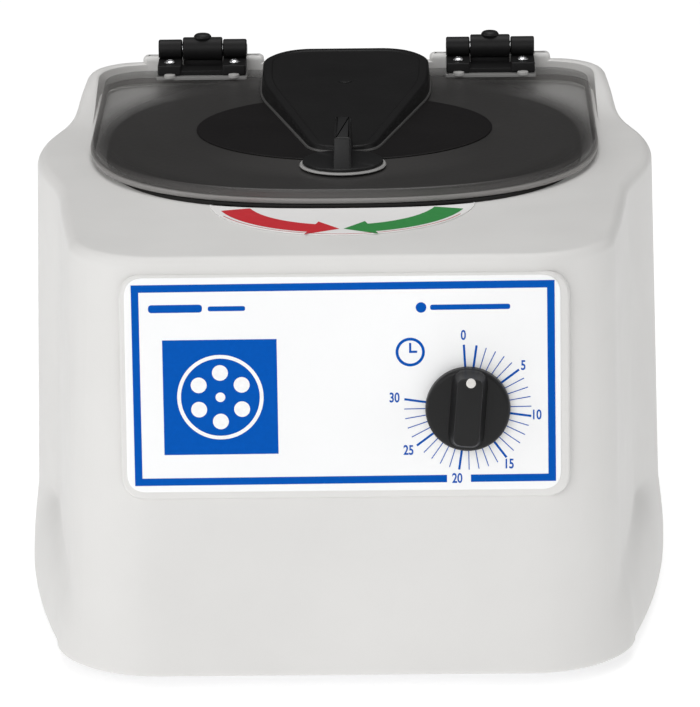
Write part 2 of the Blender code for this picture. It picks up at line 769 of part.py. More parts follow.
def build_timer():
    dial = panel_matrix(DIAL_X, DIAL_DROP)
    face = PAD_RAISE + GAP + LABEL_THICK
    back = -(WALL + TIMER_BACK_GAP)
    half_x, half_y = TIMER_BODY[0] / 2.0, TIMER_BODY[1] / 2.0
    low = (-half_x, -half_y, back - TIMER_BODY[2])
    high = (half_x, half_y, back)
    case = add_object("timer_body", block("timer_body", low, high, TIMER_CASE_ROUND), None, 0.0)
    bush_end = face + NUT_HEIGHT + 2.0 * GAP
    bush = [(BUSH_R, back - 2.0 * TIMER_CASE_ROUND), (BUSH_R, bush_end)]
    combine(case, turned("bush", bush, 24), "UNION")
    bore_r = TIMER_SHAFT_R + GAP
    bore = [(bore_r, back - TIMER_SHAFT_IN - WALL), (bore_r, bush_end + CUT_PAST)]
    combine(case, turned("bore", bore, 24), "DIFFERENCE")
    placed(case.data, dial)
    finish_object(case, STEEL, 0.4, 0.8)

    low = face + GAP
    high = low + NUT_HEIGHT
    inner = BUSH_R + GAP
    ring = [(inner, low), (inner, high), (NUT_R - NUT_EDGE, high), (NUT_R, high - NUT_EDGE), (NUT_R, low)]
    add_object("timer_nut", placed(turned("timer_nut", ring, 16, loop=True), dial), STEEL, 0.35, 0.9)

    knob_low = face + 2.0 * GAP
    shaft_end = knob_low + TIMER_BORE_DEPTH - 2.0 * GAP
    shaft = [(TIMER_SHAFT_R, back - TIMER_SHAFT_IN), (TIMER_SHAFT_R, shaft_end)]
    add_moving("timer_shaft", turned("timer_shaft", shaft, 20), dial, STEEL, 0.3, 1.0)

    rim = [
        (TIMER_KNOB_R - 0.3 * TIMER_KNOB_EDGE, 0.0),
        (TIMER_KNOB_R, 0.4 * TIMER_KNOB_EDGE),
        (TIMER_KNOB_R - 0.2 * TIMER_KNOB_EDGE, TIMER_SKIRT - 0.8 * TIMER_KNOB_EDGE),
        (TIMER_KNOB_R - TIMER_KNOB_EDGE, TIMER_SKIRT),
    ]
    knob = add_object("timer_knob", turned("timer_knob", rim, 32), None, 0.0)
    ridge_r = TIMER_KNOB_R - 0.7 * TIMER_KNOB_EDGE
    half = TIMER_RIDGE / 2.0
    spread = math.asin(half / ridge_r)
    outline = []
    for centre in (math.pi / 2.0, 3.0 * math.pi / 2.0):
        for i in range(7):
            angle = centre - spread + 2.0 * spread * i / 6.0
            outline.append((ridge_r * math.cos(angle), ridge_r * math.sin(angle)))
    ridge = slab("ridge", outline, TIMER_SKIRT / 2.0, TIMER_KNOB_HEIGHT, TIMER_KNOB_ROUND)
    combine(knob, ridge, "UNION")
    recess_r = NUT_R + NUT_ROOM
    recess = NUT_HEIGHT + NUT_ROOM
    bore = [(recess_r, -CUT_PAST), (recess_r, recess), (bore_r, recess), (bore_r, TIMER_BORE_DEPTH)]
    combine(knob, turned("recess", bore, 24), "DIFFERENCE")
    data = knob.data
    bpy.data.objects.remove(knob, do_unlink=True)
    placed(data, Matrix.Translation((0.0, 0.0, knob_low)))
    add_moving("timer_knob", data, dial, BLACK, 0.45)


def add_moving(name, data, matrix, colour, roughness, metallic=0.0):
    """Adds a piece whose origin sits on its joint's axis."""
    data.name = name
    made = add_object(name, data, colour, roughness, metallic)
    made.matrix_world = matrix
    return made


# ---------------------------------------------------------------- lid
def build_lid():
    plan = lid_outline()
    hole = []
    for x, y in plan:
        way = Vector((x, y - LATCH_Y)).normalized() * LATCH_HOLE_R
        hole.append((way.x, LATCH_Y + way.y))
    under = LID_TOP_Z - LID_PLATE
    levels = [(hole, LID_TOP_Z)]
    for i in range(3):
        angle = math.pi / 4.0 * i
        edge = inset_ring(plan, LID_EDGE_R * (1.0 - math.sin(angle)))
        levels.append((edge, LID_TOP_Z - LID_EDGE_R * (1.0 - math.cos(angle))))
    step = inset_ring(plan, -LID_STEP)
    inner = inset_ring(plan, LID_RIM_WIDTH)
    levels += [(plan, LID_STEP_Z), (step, LID_STEP_Z - GAP), (step, LID_RIM_Z), (inner, LID_RIM_Z)]
    levels += [(inner, under), (hole, under)]
    rings = [[(x, y, z) for x, y in level] for level, z in levels]
    add_hinged("lid", loft("lid", rings, loop=True), SMOKE, 0.25)


def add_hinged(name, data, colour, roughness, metallic=0.0):
    """Adds a piece of the lid with its origin on the hinge axis."""
    axis = Matrix.Translation((0.0, HINGE_Y, HINGE_Z))
    placed(data, axis.inverted())
    return add_moving(name, data, axis, colour, roughness, metallic)


def build_lid_disc():
    low = LID_TOP_Z + GAP
    data = turned("lid_disc", [(DISC_R, low), (DISC_R, low + DISC_THICK)], 48, (0.0, BOWL_Y))
    disc = add_object("lid_disc", data, None, 0.0)
    notch_r = LATCH_HOLE_R + DISC_NOTCH_GAP
    notch = [(notch_r, low - CUT_PAST), (notch_r, low + CUT_PAST)]
    combine(disc, turned("notch", notch, 24, (0.0, LATCH_Y)), "DIFFERENCE")
    data = disc.data
    bpy.data.objects.remove(disc, do_unlink=True)
    add_hinged("lid_disc", data, BLACK, 0.3)


def above_disc():
    return LID_TOP_Z + DISC_THICK + 2.0 * GAP


def build_lid_cover():
    half = [
        (COVER_FRONT_HALF, COVER_FRONT_Y),
        (COVER_HALF - 0.4 * COVER_ROUND, COVER_SIDE_Y - COVER_ROUND),
        (COVER_HALF, COVER_SIDE_Y + COVER_ROUND),
        (COVER_HALF, COVER_SHOULDER_Y - COVER_ROUND),
        (COVER_HALF - 0.8 * COVER_ROUND, COVER_SHOULDER_Y + COVER_ROUND),
        (COVER_BACK_HALF + COVER_ROUND, COVER_BACK_Y - COVER_ROUND),
        (COVER_BACK_HALF - 0.8 * COVER_ROUND, COVER_BACK_Y),
    ]
    plan = half + [(-x, y) for x, y in reversed(half)]
    slope = (COVER_BACK_Z - COVER_FRONT_Z) / (COVER_BACK_Y - COVER_FRONT_Y)

    def top(y, drop):
        return COVER_FRONT_Z + (y - COVER_FRONT_Y) * slope - drop

    rings = [[(x, y, above_disc()) for x, y in plan]]
    for inset, drop in ((0.0, 1.0), (0.3, 0.3), (1.0, 0.0)):
        edge = inset_ring(plan, COVER_SIDE_LEAN + COVER_BEVEL * inset)
        rings.append([(x, y, top(y, COVER_BEVEL * drop)) for x, y in edge])
    add_hinged("lid_cover", loft("lid_cover", rings), BLACK, 0.4)


def build_latch():
    low = above_disc()
    inner = LATCH_HOLE_R
    high = low + FLANGE_HEIGHT
    ring = [(inner, low), (inner, high), (FLANGE_R - FLANGE_EDGE, high), (FLANGE_R, low)]
    data = turned("latch_flange", ring, 30, (0.0, LATCH_Y), loop=True)
    add_hinged("latch_flange", data, GREY, 0.4)

    axis = Matrix.Translation((0.0, LATCH_Y, 0.0))
    low += FLANGE_HEIGHT + GAP
    high = low + KNOB_DISC
    rim = [
        (KNOB_R - 0.5 * KNOB_EDGE, low),
        (KNOB_R, low + 0.6 * KNOB_EDGE),
        (KNOB_R, high - KNOB_EDGE),
        (KNOB_R - KNOB_EDGE, high),
    ]
    knob = add_object("latch_knob", turned("latch_knob", rim, 32), None, 0.0)
    half = KNOB_BAR_WIDTH / 2.0
    bar_low = (-half, -KNOB_BAR_FRONT, low + KNOB_BAR_LIFT)
    bar = block("bar", bar_low, (half, KNOB_BAR_BACK, KNOB_TOP_Z), KNOB_BAR_ROUND)
    combine(knob, bar, "UNION")
    bore_r = LATCH_SHAFT_R + GAP
    bore = [(bore_r, low - CUT_PAST), (bore_r, high - KNOB_EDGE)]
    combine(knob, turned("bore", bore, 24), "DIFFERENCE")
    data = knob.data
    bpy.data.objects.remove(knob, do_unlink=True)
    add_moving("latch_knob", data, axis, BLACK, 0.4)

    shaft = [(LATCH_SHAFT_R, TONGUE_Z - 0.5 * KNOB_EDGE), (LATCH_SHAFT_R, high - KNOB_EDGE - GAP)]
    add_moving("latch_shaft", turned("latch_shaft", shaft, 20), axis, STEEL, 0.3, 1.0)

    half = TONGUE_WIDTH / 2.0
    arc = [math.pi / 2.0 + math.pi * i / 8.0 for i in range(9)]
    outline = [(half * math.cos(a), half * math.sin(a)) for a in arc]
    tip = half - TONGUE_TAPER
    outline += [(TONGUE_LENGTH, -tip), (TONGUE_LENGTH, tip)]
    low = TONGUE_Z
    high = low + TONGUE_THICK
    tongue = add_object("latch_tongue", slab("latch_tongue", outline, low, high), None, 0.0)
    bore = [(bore_r, low - CUT_PAST), (bore_r, high + CUT_PAST)]
    combine(tongue, turned("bore", bore, 24), "DIFFERENCE")
    data = tongue.data
    bpy.data.objects.remove(tongue, do_unlink=True)
    add_moving("latch_tongue", data, axis, STEEL, 0.35, 0.9)


def build_strike():
    wall_y = BOWL_Y - BOWL_R + STRIKE_WALL_GAP
    low = TONGUE_Z + TONGUE_THICK + STRIKE_GAP
    high = low + STRIKE_THICK
    profile = [
        (wall_y, high - STRIKE_DROP),
        (wall_y + STRIKE_THICK, high - STRIKE_DROP),
        (wall_y + STRIKE_THICK, low),
        (wall_y + STRIKE_REACH, low),
        (wall_y + STRIKE_REACH, high),
        (wall_y, high),
    ]
    rings = [[(x, y, z) for y, z in profile] for x in (-STRIKE_HALF, STRIKE_HALF)]
    add_object("latch_strike", loft("latch_strike", rings), STEEL, 0.35, 0.9)


# ---------------------------------------------------------------- hinges
def along_x(data, x, y, z):
    """Lays a piece turned about Z along X, centred at a point."""
    return placed(data, Matrix.Translation((x, y, z)) @ Matrix.Rotation(math.pi / 2.0, 4, "Y"))


def rod(name, radius, low_x, high_x, count=16):
    half = (high_x - low_x) / 2.0
    edge = min(0.0004, radius * 0.2)
    profile = [(radius - edge, -half), (radius, -half + edge), (radius, half - edge), (radius - edge, half)]
    return along_x(turned(name, profile, count), (low_x + high_x) / 2.0, HINGE_Y, HINGE_Z)


def pin_bore(x):
    radius = PIN_R + PIN_CLEAR
    bore = turned("pin_bore", [(radius, -HINGE_WIDTH), (radius, HINGE_WIDTH)], 12)
    return along_x(bore, x, HINGE_Y, HINGE_Z)


def build_hinge(side, suffix):
    x = side * HINGE_X
    half = HINGE_WIDTH / 2.0
    middle = MIDDLE_WIDTH / 2.0
    leaf_low = LID_TOP_Z + PAD_THICK + 2.0 * GAP
    leaf_high = leaf_low + LEAF_THICK
    inner = middle + KNUCKLE_GAP

    leaf = None
    for part in (-1.0, 1.0):
        low_x, high_x = sorted((x + part * inner, x + part * half))
        inset = KNUCKLE_GAP / 2.0
        plate_low = (low_x + inset, LEAF_FRONT_Y, leaf_low)
        plate = block("plate", plate_low, (high_x - inset, HINGE_Y, leaf_high), HINGE_EDGE, 1)
        if leaf is None:
            leaf = add_object("leaf", plate, None, 0.0)
        else:
            combine(leaf, plate, "UNION")
        combine(leaf, rod("knuckle", KNUCKLE_R, low_x, high_x), "UNION")
    web_low = (x - inner - WEB_THICK, LEAF_FRONT_Y + 1.4 * HINGE_EDGE, leaf_low + KNUCKLE_GAP / 2.0)
    web_high = (x + inner + WEB_THICK, HINGE_Y - MIDDLE_R - 2.0 * HINGE_EDGE, leaf_low + WEB_THICK)
    combine(leaf, block("web", web_low, web_high), "UNION")
    combine(leaf, pin_bore(x), "DIFFERENCE")
    data = leaf.data
    bpy.data.objects.remove(leaf, do_unlink=True)
    add_hinged("hinge_lid_leaf_" + suffix, data, BLACK, 0.35)

    low_z = hump_top() + GAP
    high_z = low_z + LEAF_THICK
    rear_y = BACK_Y - 2.0 * HUMP_INSET
    bracket = add_object("bracket", rod("knuckle", MIDDLE_R, x - middle, x + middle), None, 0.0)
    top = HINGE_Z + MIDDLE_R - KNUCKLE_GAP / 2.0
    reach = middle - KNUCKLE_GAP
    neck_high = (x + reach, rear_y - 4.0 * HINGE_EDGE, top)
    neck = block("neck", (x - reach, HINGE_Y, low_z), neck_high, HINGE_EDGE, 1)
    combine(bracket, neck, "UNION")
    plate_front = HINGE_Y + KNUCKLE_R + 2.0 * GAP
    plate = block("plate", (x - half, plate_front, low_z), (x + half, rear_y, high_z), HINGE_EDGE, 1)
    combine(bracket, plate, "UNION")
    combine(bracket, pin_bore(x), "DIFFERENCE")
    bracket.name = "hinge_body_leaf_" + suffix
    finish_object(bracket, BLACK, 0.35)

    pin = rod("hinge_pin_" + suffix, PIN_R - PIN_CLEAR, x - half, x + half, 12)
    add_object("hinge_pin_" + suffix, pin, STEEL, 0.3, 1.0)

    pad_low = LID_TOP_Z + GAP
    pad_back = HINGE_Y - KNUCKLE_R
    centre = (x, (pad_back + PAD_FRONT_Y) / 2.0)
    half_y = (pad_back - PAD_FRONT_Y) / 2.0
    outline = rounded_rectangle(half + PAD_MARGIN, half_y, 2.0 * PAD_MARGIN, 3, centre)
    pad = slab("hinge_pad_" + suffix, outline, pad_low, pad_low + PAD_THICK)
    add_hinged("hinge_pad_" + suffix, pad, GREY, 0.5)

    head_z = leaf_high + GAP
    head = [(SCREW_HEAD_R, head_z), (SCREW_HEAD_R, head_z + SCREW_HEAD_HEIGHT / 3.0)]
    head += [(SCREW_HEAD_R * 0.6, head_z + SCREW_HEAD_HEIGHT)]
    for part, word in ((-1.0, "outer" if side < 0.0 else "inner"), (1.0, "inner" if side < 0.0 else "outer")):
        name = "leaf_screw_" + suffix + "_" + word
        screw = turned(name, head, 12, (x + part * LEAF_SCREW_X, LEAF_SCREW_Y))
        add_hinged(name, screw, STEEL, 0.25, 1.0)

    cap_z = top + GAP
    shape = ((1.0, 0.0), (1.0, 0.3), (0.85, 0.65), (0.45, 1.0))
    cap = [(CAP_SCREW_R * out, cap_z + CAP_SCREW_HEIGHT * up) for out, up in shape]
    name = "friction_screw_" + suffix
    add_object(name, turned(name, cap, 16, (x, HINGE_Y + CAP_SCREW_R + HINGE_EDGE)), BLACK, 0.35, 0.4)


# ---------------------------------------------------------------- rotor and drive
def sleeve_matrix(i):
    """Local Z runs up the sleeve; its mouth is at local zero."""
    turn = Matrix.Rotation(math.tau * (i + 0.5) / SLEEVES, 4, "Z")
    lean = Matrix.Translation((MOUTH_R, 0.0, MOUTH_Z)) @ Matrix.Rotation(-TILT, 4, "Y")
    return Matrix.Translation((0.0, BOWL_Y, 0.0)) @ turn @ lean


def build_rotor():
    bore = SHAFT_R + GAP
    profile = [(bore, ROTOR_HUB_Z)] + ROTOR_PROFILE + [(bore, ROTOR_UNDER_Z)]
    rotor = add_object("rotor", turned("rotor", profile, ROTOR_POINTS, (0.0, BOWL_Y), loop=True), None, 0.0)
    bore_r = SLEEVE_R + 2.0 * GAP
    seat_r = SLEEVE_RIM_R + 2.0 * GAP
    for i in range(SLEEVES):
        bore = [(bore_r, -1.5 * SLEEVE_LENGTH), (bore_r, 0.0), (seat_r, 0.0), (seat_r, SLEEVE_LENGTH / 2.0)]
        bore = turned("bore", bore, 12)
        combine(rotor, placed(bore, sleeve_matrix(i)), "DIFFERENCE")
    finish_object(rotor, ROTOR_BLUE, 0.4)

    end = -SLEEVE_LENGTH
    sleeve = [
        (SLEEVE_R * 0.7, end),
        (SLEEVE_R, end + SLEEVE_END_ROUND),
        (SLEEVE_R, GAP),
        (SLEEVE_RIM_R, GAP),
        (SLEEVE_RIM_R, GAP + SLEEVE_RIM),
        (SLEEVE_BORE_R, GAP + SLEEVE_RIM),
        (SLEEVE_BORE_R, end + SLEEVE_END_ROUND + GAP),
        (SLEEVE_BORE_R * 0.6, end + SLEEVE_END_ROUND / 2.0),
    ]
    for i in range(SLEEVES):
        name = "tube_sleeve_%d" % (i + 1)
        add_object(name, placed(turned(name, sleeve, 12), sleeve_matrix(i)), STEEL, 0.35, 0.9)

    low = ROTOR_HUB_Z + GAP
    high = low + ROTOR_NUT_HEIGHT
    bore = SHAFT_R + GAP
    nut = [
        (bore, low),
        (ROTOR_NUT_R, low),
        (ROTOR_NUT_R, high - ROTOR_NUT_EDGE),
        (ROTOR_NUT_R - ROTOR_NUT_EDGE, high),
        (bore, high),
    ]
    nut = turned("rotor_nut", nut, 16, (0.0, BOWL_Y), loop=True)
    add_object("rotor_nut", nut, BLACK, 0.4)
    shaft = [
        (SHAFT_R - SHAFT_EDGE, SHAFT_BOTTOM_Z),
        (SHAFT_R, SHAFT_BOTTOM_Z + SHAFT_EDGE),
        (SHAFT_R, SHAFT_TOP_Z),
        (SHAFT_R - SHAFT_EDGE, SHAFT_TOP_Z + SHAFT_EDGE),
    ]
    add_object("motor_shaft", turned("motor_shaft", shaft, 20, (0.0, BOWL_Y)), STEEL, 0.25, 1.0)


def build_drive():
    bore = SHAFT_R + 2.0 * GAP
    flange_low = MOUNT_Z + MOUNT_THICK + GAP
    flange_high = flange_low + MOUNT_THICK
    profile = [
        (MOTOR_R * 0.5, MOTOR_BOTTOM_Z),
        (MOTOR_R - MOTOR_EDGE, MOTOR_BOTTOM_Z),
        (MOTOR_R, MOTOR_BOTTOM_Z + MOTOR_EDGE),
        (MOTOR_R, flange_low),
        (MOTOR_FLANGE_R, flange_low),
        (MOTOR_FLANGE_R, flange_high),
        (MOTOR_R, flange_high),
        (MOTOR_R, MOTOR_TOP_Z - MOTOR_EDGE),
        (MOTOR_R - MOTOR_EDGE, MOTOR_TOP_Z),
        (bore, MOTOR_TOP_Z),
        (bore, SHAFT_BOTTOM_Z - MOTOR_SHAFT_ROOM),
    ]
    add_object("motor", turned("motor", profile, 24, (0.0, BOWL_Y)), STEEL, 0.5, 0.7)
    inner = MOTOR_R + MOTOR_PLATE_GAP
    top = MOUNT_Z + MOUNT_THICK
    plate = [(inner, MOUNT_Z), (inner, top), (MOUNT_R, top), (MOUNT_R, MOUNT_Z)]
    data = turned("motor_mount_plate", plate, 24, (0.0, BOWL_Y), loop=True)
    add_object("motor_mount_plate", data, STEEL, 0.4, 0.9)
    low = BASE_Z + BASE_PLATE + 3.0 * GAP
    high = MOUNT_Z - GAP
    waist = (low + high) / 2.0
    profile = [(ISOLATOR_R, low), (ISOLATOR_R * 0.75, waist), (ISOLATOR_R, high)]
    for i in range(3):
        angle = math.pi / 2.0 + math.tau * i / 3.0
        spot = (ISOLATOR_CIRCLE * math.cos(angle), BOWL_Y + ISOLATOR_CIRCLE * math.sin(angle))
        name = "isolator_%d" % (i + 1)
        add_object(name, turned(name, profile, 16, spot), BLACK, 0.8)


def build_inlet():
    face_low = BACK_Y + GAP
    face_high = face_low + INLET_FLANGE_THICK
    half_x, half_z = INLET_FLANGE[0] / 2.0, INLET_FLANGE[1] / 2.0
    low = (INLET_X - half_x, face_low, INLET_Z - half_z)
    inlet = block("inlet", low, (INLET_X + half_x, face_high, INLET_Z + half_z), INLET_EDGE, 1)
    inlet = add_object("power_inlet", inlet, None, 0.0)
    half_x, half_z = INLET_BODY[0] / 2.0 - GAP, INLET_BODY[1] / 2.0 - GAP
    low = (INLET_X - half_x, face_high - INLET_DEPTH, INLET_Z - half_z)
    high = (INLET_X + half_x, face_high - INLET_FLANGE_THICK / 2.0, INLET_Z + half_z)
    combine(inlet, block("body", low, high), "UNION")
    socket_z = INLET_Z + SOCKET_RISE
    half_x, half_z = SOCKET_SIZE[0] / 2.0, SOCKET_SIZE[1] / 2.0
    low = (INLET_X - half_x, face_high - SOCKET_DEPTH, socket_z - half_z)
    high = (INLET_X + half_x, face_high + CUT_PAST, socket_z + half_z)
    combine(inlet, block("socket", low, high), "DIFFERENCE")
    drawer_z = INLET_Z - DRAWER_FALL
    half_x, half_z = DRAWER_SIZE[0] / 2.0 + GAP, DRAWER_SIZE[1] / 2.0 + GAP
    low = (INLET_X - half_x, face_high - DRAWER_DEPTH - GAP, drawer_z - half_z)
    high = (INLET_X + half_x, face_high + CUT_PAST, drawer_z + half_z)
    combine(inlet, block("pocket", low, high), "DIFFERENCE")
    finish_object(inlet, BLACK, 0.5)
    half_x, half_z = DRAWER_SIZE[0] / 2.0, DRAWER_SIZE[1] / 2.0
    low = (-half_x, -DRAWER_DEPTH, -half_z)
    drawer = block("fuse_drawer", low, (half_x, 0.0, half_z), INLET_EDGE, 1)
    axis = Matrix.Translation((INLET_X, face_high, drawer_z))
    add_moving("fuse_drawer", drawer, axis, GREY, 0.5)


def main():
    clear_scene()
    build_housing()
    build_base()
    build_bowl()
    build_seal()
    build_deck_label()
    build_panel()
    build_timer()
    build_lid()
    build_lid_disc()
    build_lid_cover()
    build_latch()
    build_strike()
    for side, suffix in ((-1.0, "left"), (1.0, "right")):
        build_hinge(side, suffix)
    build_rotor()
    build_drive()
    build_inlet()


main()
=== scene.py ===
"""Looks of the bench centrifuge: rounded skins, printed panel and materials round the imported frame."""

import math

import bmesh
import bpy
from mathutils import Matrix, Vector


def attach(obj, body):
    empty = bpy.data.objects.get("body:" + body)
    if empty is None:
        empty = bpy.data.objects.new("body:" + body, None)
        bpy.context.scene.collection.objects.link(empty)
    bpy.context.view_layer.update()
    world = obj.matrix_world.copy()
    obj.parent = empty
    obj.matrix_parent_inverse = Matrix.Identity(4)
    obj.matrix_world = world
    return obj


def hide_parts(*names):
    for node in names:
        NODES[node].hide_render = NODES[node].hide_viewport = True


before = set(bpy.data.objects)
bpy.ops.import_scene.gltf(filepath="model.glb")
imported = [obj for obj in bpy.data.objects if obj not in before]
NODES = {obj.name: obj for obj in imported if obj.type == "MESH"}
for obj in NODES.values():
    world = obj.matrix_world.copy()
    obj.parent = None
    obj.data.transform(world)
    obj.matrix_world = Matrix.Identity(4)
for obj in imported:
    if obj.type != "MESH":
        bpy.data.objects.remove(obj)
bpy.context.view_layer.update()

# -------------------- dimensions shared with the frame
DECK_Z = 0.200
BASE_Z = 0.006
WALL = 0.003
BOWL_Y = 0.0397
BACK_Y = 0.1872
FRONT_BASE_Y = -0.1783
LEAN_RISE = 0.188
LEAN_RUN = 0.015
LEAN = math.atan2(LEAN_RUN, LEAN_RISE)
PLAN_MID_Y = 0.0467
COLLAR_RISE = 0.0112
DECK_FILLET = 0.005
DECK_HALF = 0.137
WALL_DRAFT = 0.0236
FOOT_HALF = 0.155
FOOT_HIGH = 0.042
FOOT_FLARE = 0.018
BULGE_R = 0.1488
BULGE_BACK_Y = 0.172
OPENING_R = 0.1105
INLET_X = 0.075
INLET_Z = 0.050
INLET_HALF = 0.0142
INLET_HALF_HIGH = 0.0222
LATCH_Y = -0.0313
PANEL_X = 0.001
PANEL_TOP_Z = 0.194
LABEL_FACE = 0.0026
DIAL_X = 0.0567
DIAL_DROP = 0.0632
LID_MID_Y = 0.0462
LID_TOP_Z = 0.2085
COVER_LOW = LID_TOP_Z + 0.0010
HINGE_X = 0.073
HINGE_Y = 0.1727
HINGE_Z = 0.220
HUMP_TOP_Z = DECK_Z + COLLAR_RISE + 0.0034
LEAF_HALF = 0.02235
LEAF_LOW = LID_TOP_Z + 0.0014 + 0.0006
LEAF_HIGH = LEAF_LOW + 0.005
KNUCKLE_HALF = 0.010
SCREW_X = 0.0162
SIGN_R = 0.0621
SIGN_Y = -0.1259 + SIGN_R
INK_OUT = LABEL_FACE + 0.00006
TOP_OUT = LABEL_FACE + 0.00012

BLUE = (0.0, 0.092, 0.462)
PURE_BLACK = (0.012, 0.012, 0.013)


# -------------------- materials
def map_range(tree, value, settings, kind="LINEAR"):
    """Maps a socket by (from low, from high, to low, to high)."""
    node = tree.nodes.new("ShaderNodeMapRange")
    node.interpolation_type = kind
    for key, setting in zip(("From Min", "From Max", "To Min", "To Max"), settings):
        node.inputs[key].default_value = setting
    tree.links.new(value, node.inputs["Value"])
    return node.outputs["Result"]


class Nodes:
    """A small helper round one material's node tree."""

    def __init__(self, name):
        self.made = bpy.data.materials.new(name)
        self.made.use_nodes = True
        self.tree = self.made.node_tree
        self.shader = self.tree.nodes["Principled BSDF"]
        self.where = self.add("ShaderNodeTexCoord").outputs["Object"]

    def add(self, kind, **settings):
        node = self.tree.nodes.new(kind)
        for key, value in settings.items():
            setattr(node, key, value)
        return node

    def link(self, source, target):
        self.tree.links.new(source, target)

    def feed(self, key, source):
        self.link(source, self.shader.inputs[key])

    def noise(self, scale, detail, rough=0.5, stretch=None):
        node = self.add("ShaderNodeTexNoise")
        node.inputs["Scale"].default_value = scale
        node.inputs["Detail"].default_value = detail
        node.inputs["Roughness"].default_value = rough
        if stretch:
            mapping = self.add("ShaderNodeMapping")
            mapping.inputs["Scale"].default_value = stretch
            self.link(self.where, mapping.inputs["Vector"])
            self.link(mapping.outputs["Vector"], node.inputs["Vector"])
        else:
            self.link(self.where, node.inputs["Vector"])
        return node.outputs["Fac"]

    def span(self, value, low, high, start=0.3, end=0.7, kind="LINEAR"):
        return map_range(self.tree, value, (start, end, low, high), kind)

    def mix(self, share, a, b):
        node = self.add("ShaderNodeMix", data_type="RGBA")
        for socket, value in ((node.inputs["Factor"], share), (node.inputs["A"], a), (node.inputs["B"], b)):
            if isinstance(value, (tuple, list)):
                socket.default_value = (*value, 1.0) if len(value) == 3 else value
            elif isinstance(value, float):
                socket.default_value = value
            else:
                self.link(value, socket)
        return node.outputs["Result"]

    def bump(self, height, strength, distance):
        node = self.add("ShaderNodeBump")
        node.inputs["Strength"].default_value = strength
        node.inputs["Distance"].default_value = distance
        self.link(height, node.inputs["Height"])
        self.feed("Normal", node.outputs["Normal"])

    def edges(self, low=0.52, high=0.60):
        """0 on flat areas, 1 on outer edges."""
        node = self.add("ShaderNodeNewGeometry")
        return self.span(node.outputs["Pointiness"], 0.0, 1.0, low, high)

    def set(self, **values):
        for key, value in values.items():
            self.shader.inputs[key.replace("_", " ")].default_value = value


def shade(colour, factor):
    return tuple(min(c * factor, 1.0) for c in colour)


def plastic(name, colour, rough, grain, bump, depth, specular, wear):
    """Moulded plastic: fine grain, patchy gloss, slightly paler rubbed edges."""
    m = Nodes(name)
    blotch = m.noise(9.0, 4.0, 0.6)
    body = m.mix(m.span(blotch, 0.0, 1.0), shade(colour, 0.97), shade(colour, 1.025))
    speck = m.span(m.noise(2600.0, 1.0), 0.0, 0.35, 0.62, 0.75)
    body = m.mix(speck, body, shade(colour, 0.92))
    body = m.mix(m.edges(), body, shade(colour, wear))
    m.feed("Base Color", body)
    m.feed("Roughness", m.span(m.noise(34.0, 5.0, 0.65), rough - 0.05, rough + 0.07))
    m.bump(m.noise(grain, 3.0, 0.6), bump, depth)
    m.set(Specular_IOR_Level=specular)
    return m.made


def metal(name, colour, rough, stretch=(1.0, 1.0, 30.0), scale=220.0):
    """Brushed metal with fine streaks and brighter worn edges."""
    m = Nodes(name)
    streak = m.noise(scale, 4.0, 0.6, stretch)
    body = m.mix(m.span(streak, 0.0, 1.0), shade(colour, 0.82), shade(colour, 1.08))
    body = m.mix(m.edges(), body, shade(colour, 1.25))
    m.feed("Base Color", body)
    m.feed("Roughness", m.span(streak, rough - 0.08, rough + 0.12))
    m.bump(streak, 0.08, 0.0001)
    m.set(Metallic=1.0)
    return m.made


def rubber(name, colour):
    """Dusty matt rubber."""
    m = Nodes(name)
    dust = m.span(m.noise(60.0, 5.0, 0.7), 0.0, 0.5, 0.45, 0.8)
    body = m.mix(dust, colour, (0.030, 0.028, 0.027))
    body = m.mix(m.edges(), body, (0.020, 0.019, 0.018))
    m.feed("Base Color", body)
    m.feed("Roughness", m.span(m.noise(45.0, 3.0), 0.75, 0.93))
    m.bump(m.noise(1300.0, 2.0), 0.25, 0.0002)
    m.set(Specular_IOR_Level=0.12)
    return m.made


def ink(name, colour, rough=0.55):
    """Screen print: even colour with faint mottling and a slightly duller gloss than the film."""
    m = Nodes(name)
    mottle = m.span(m.noise(420.0, 4.0, 0.7), 0.0, 1.0)
    m.feed("Base Color", m.mix(mottle, shade(colour, 0.95), shade(colour, 1.05)))
    m.feed("Roughness", m.span(m.noise(120.0, 3.0), rough - 0.05, rough + 0.06))
    m.bump(m.noise(2000.0, 1.0), 0.05, 0.00005)
    m.set(Specular_IOR_Level=0.05)
    return m.made


HOUSING = plastic("moulded_off_white", (0.745, 0.737, 0.722), 0.46, 1500.0, 0.10, 0.00012, 0.30, 1.05)
FILM = plastic("label_film_white", (0.965, 0.968, 0.972), 0.36, 700.0, 0.04, 0.00008, 0.25, 1.02)
BLACK = plastic("black_moulding", (0.0085, 0.0083, 0.0085), 0.44, 1300.0, 0.14, 0.00015, 0.16, 1.7)
KNOB_BLACK = (0.0105, 0.0105, 0.0108)
BLACK_SATIN = plastic("black_knob_moulding", KNOB_BLACK, 0.38, 900.0, 0.10, 0.00012, 0.24, 2.0)
DISC = plastic("black_disc_film", (0.0085, 0.0076, 0.0078), 0.50, 1700.0, 0.06, 0.00005, 0.12, 1.2)
GREY = plastic("grey_moulding", (0.20, 0.20, 0.205), 0.42, 1100.0, 0.12, 0.00015, 0.4, 1.2)
BOWL = plastic("bowl_grey", (0.23, 0.235, 0.24), 0.48, 800.0, 0.16, 0.0002, 0.4, 1.15)
ROTOR = plastic("rotor_blue", (0.035, 0.075, 0.21), 0.38, 1000.0, 0.12, 0.00015, 0.45, 1.5)
STEEL = metal("brushed_steel", (0.60, 0.60, 0.61), 0.30)
BRIGHT = metal("bright_screw_steel", (0.74, 0.74, 0.75), 0.20, (1.0, 1.0, 1.0), 500.0)
PLATE = metal("satin_plate", (0.55, 0.55, 0.56), 0.42, (40.0, 1.0, 1.0))
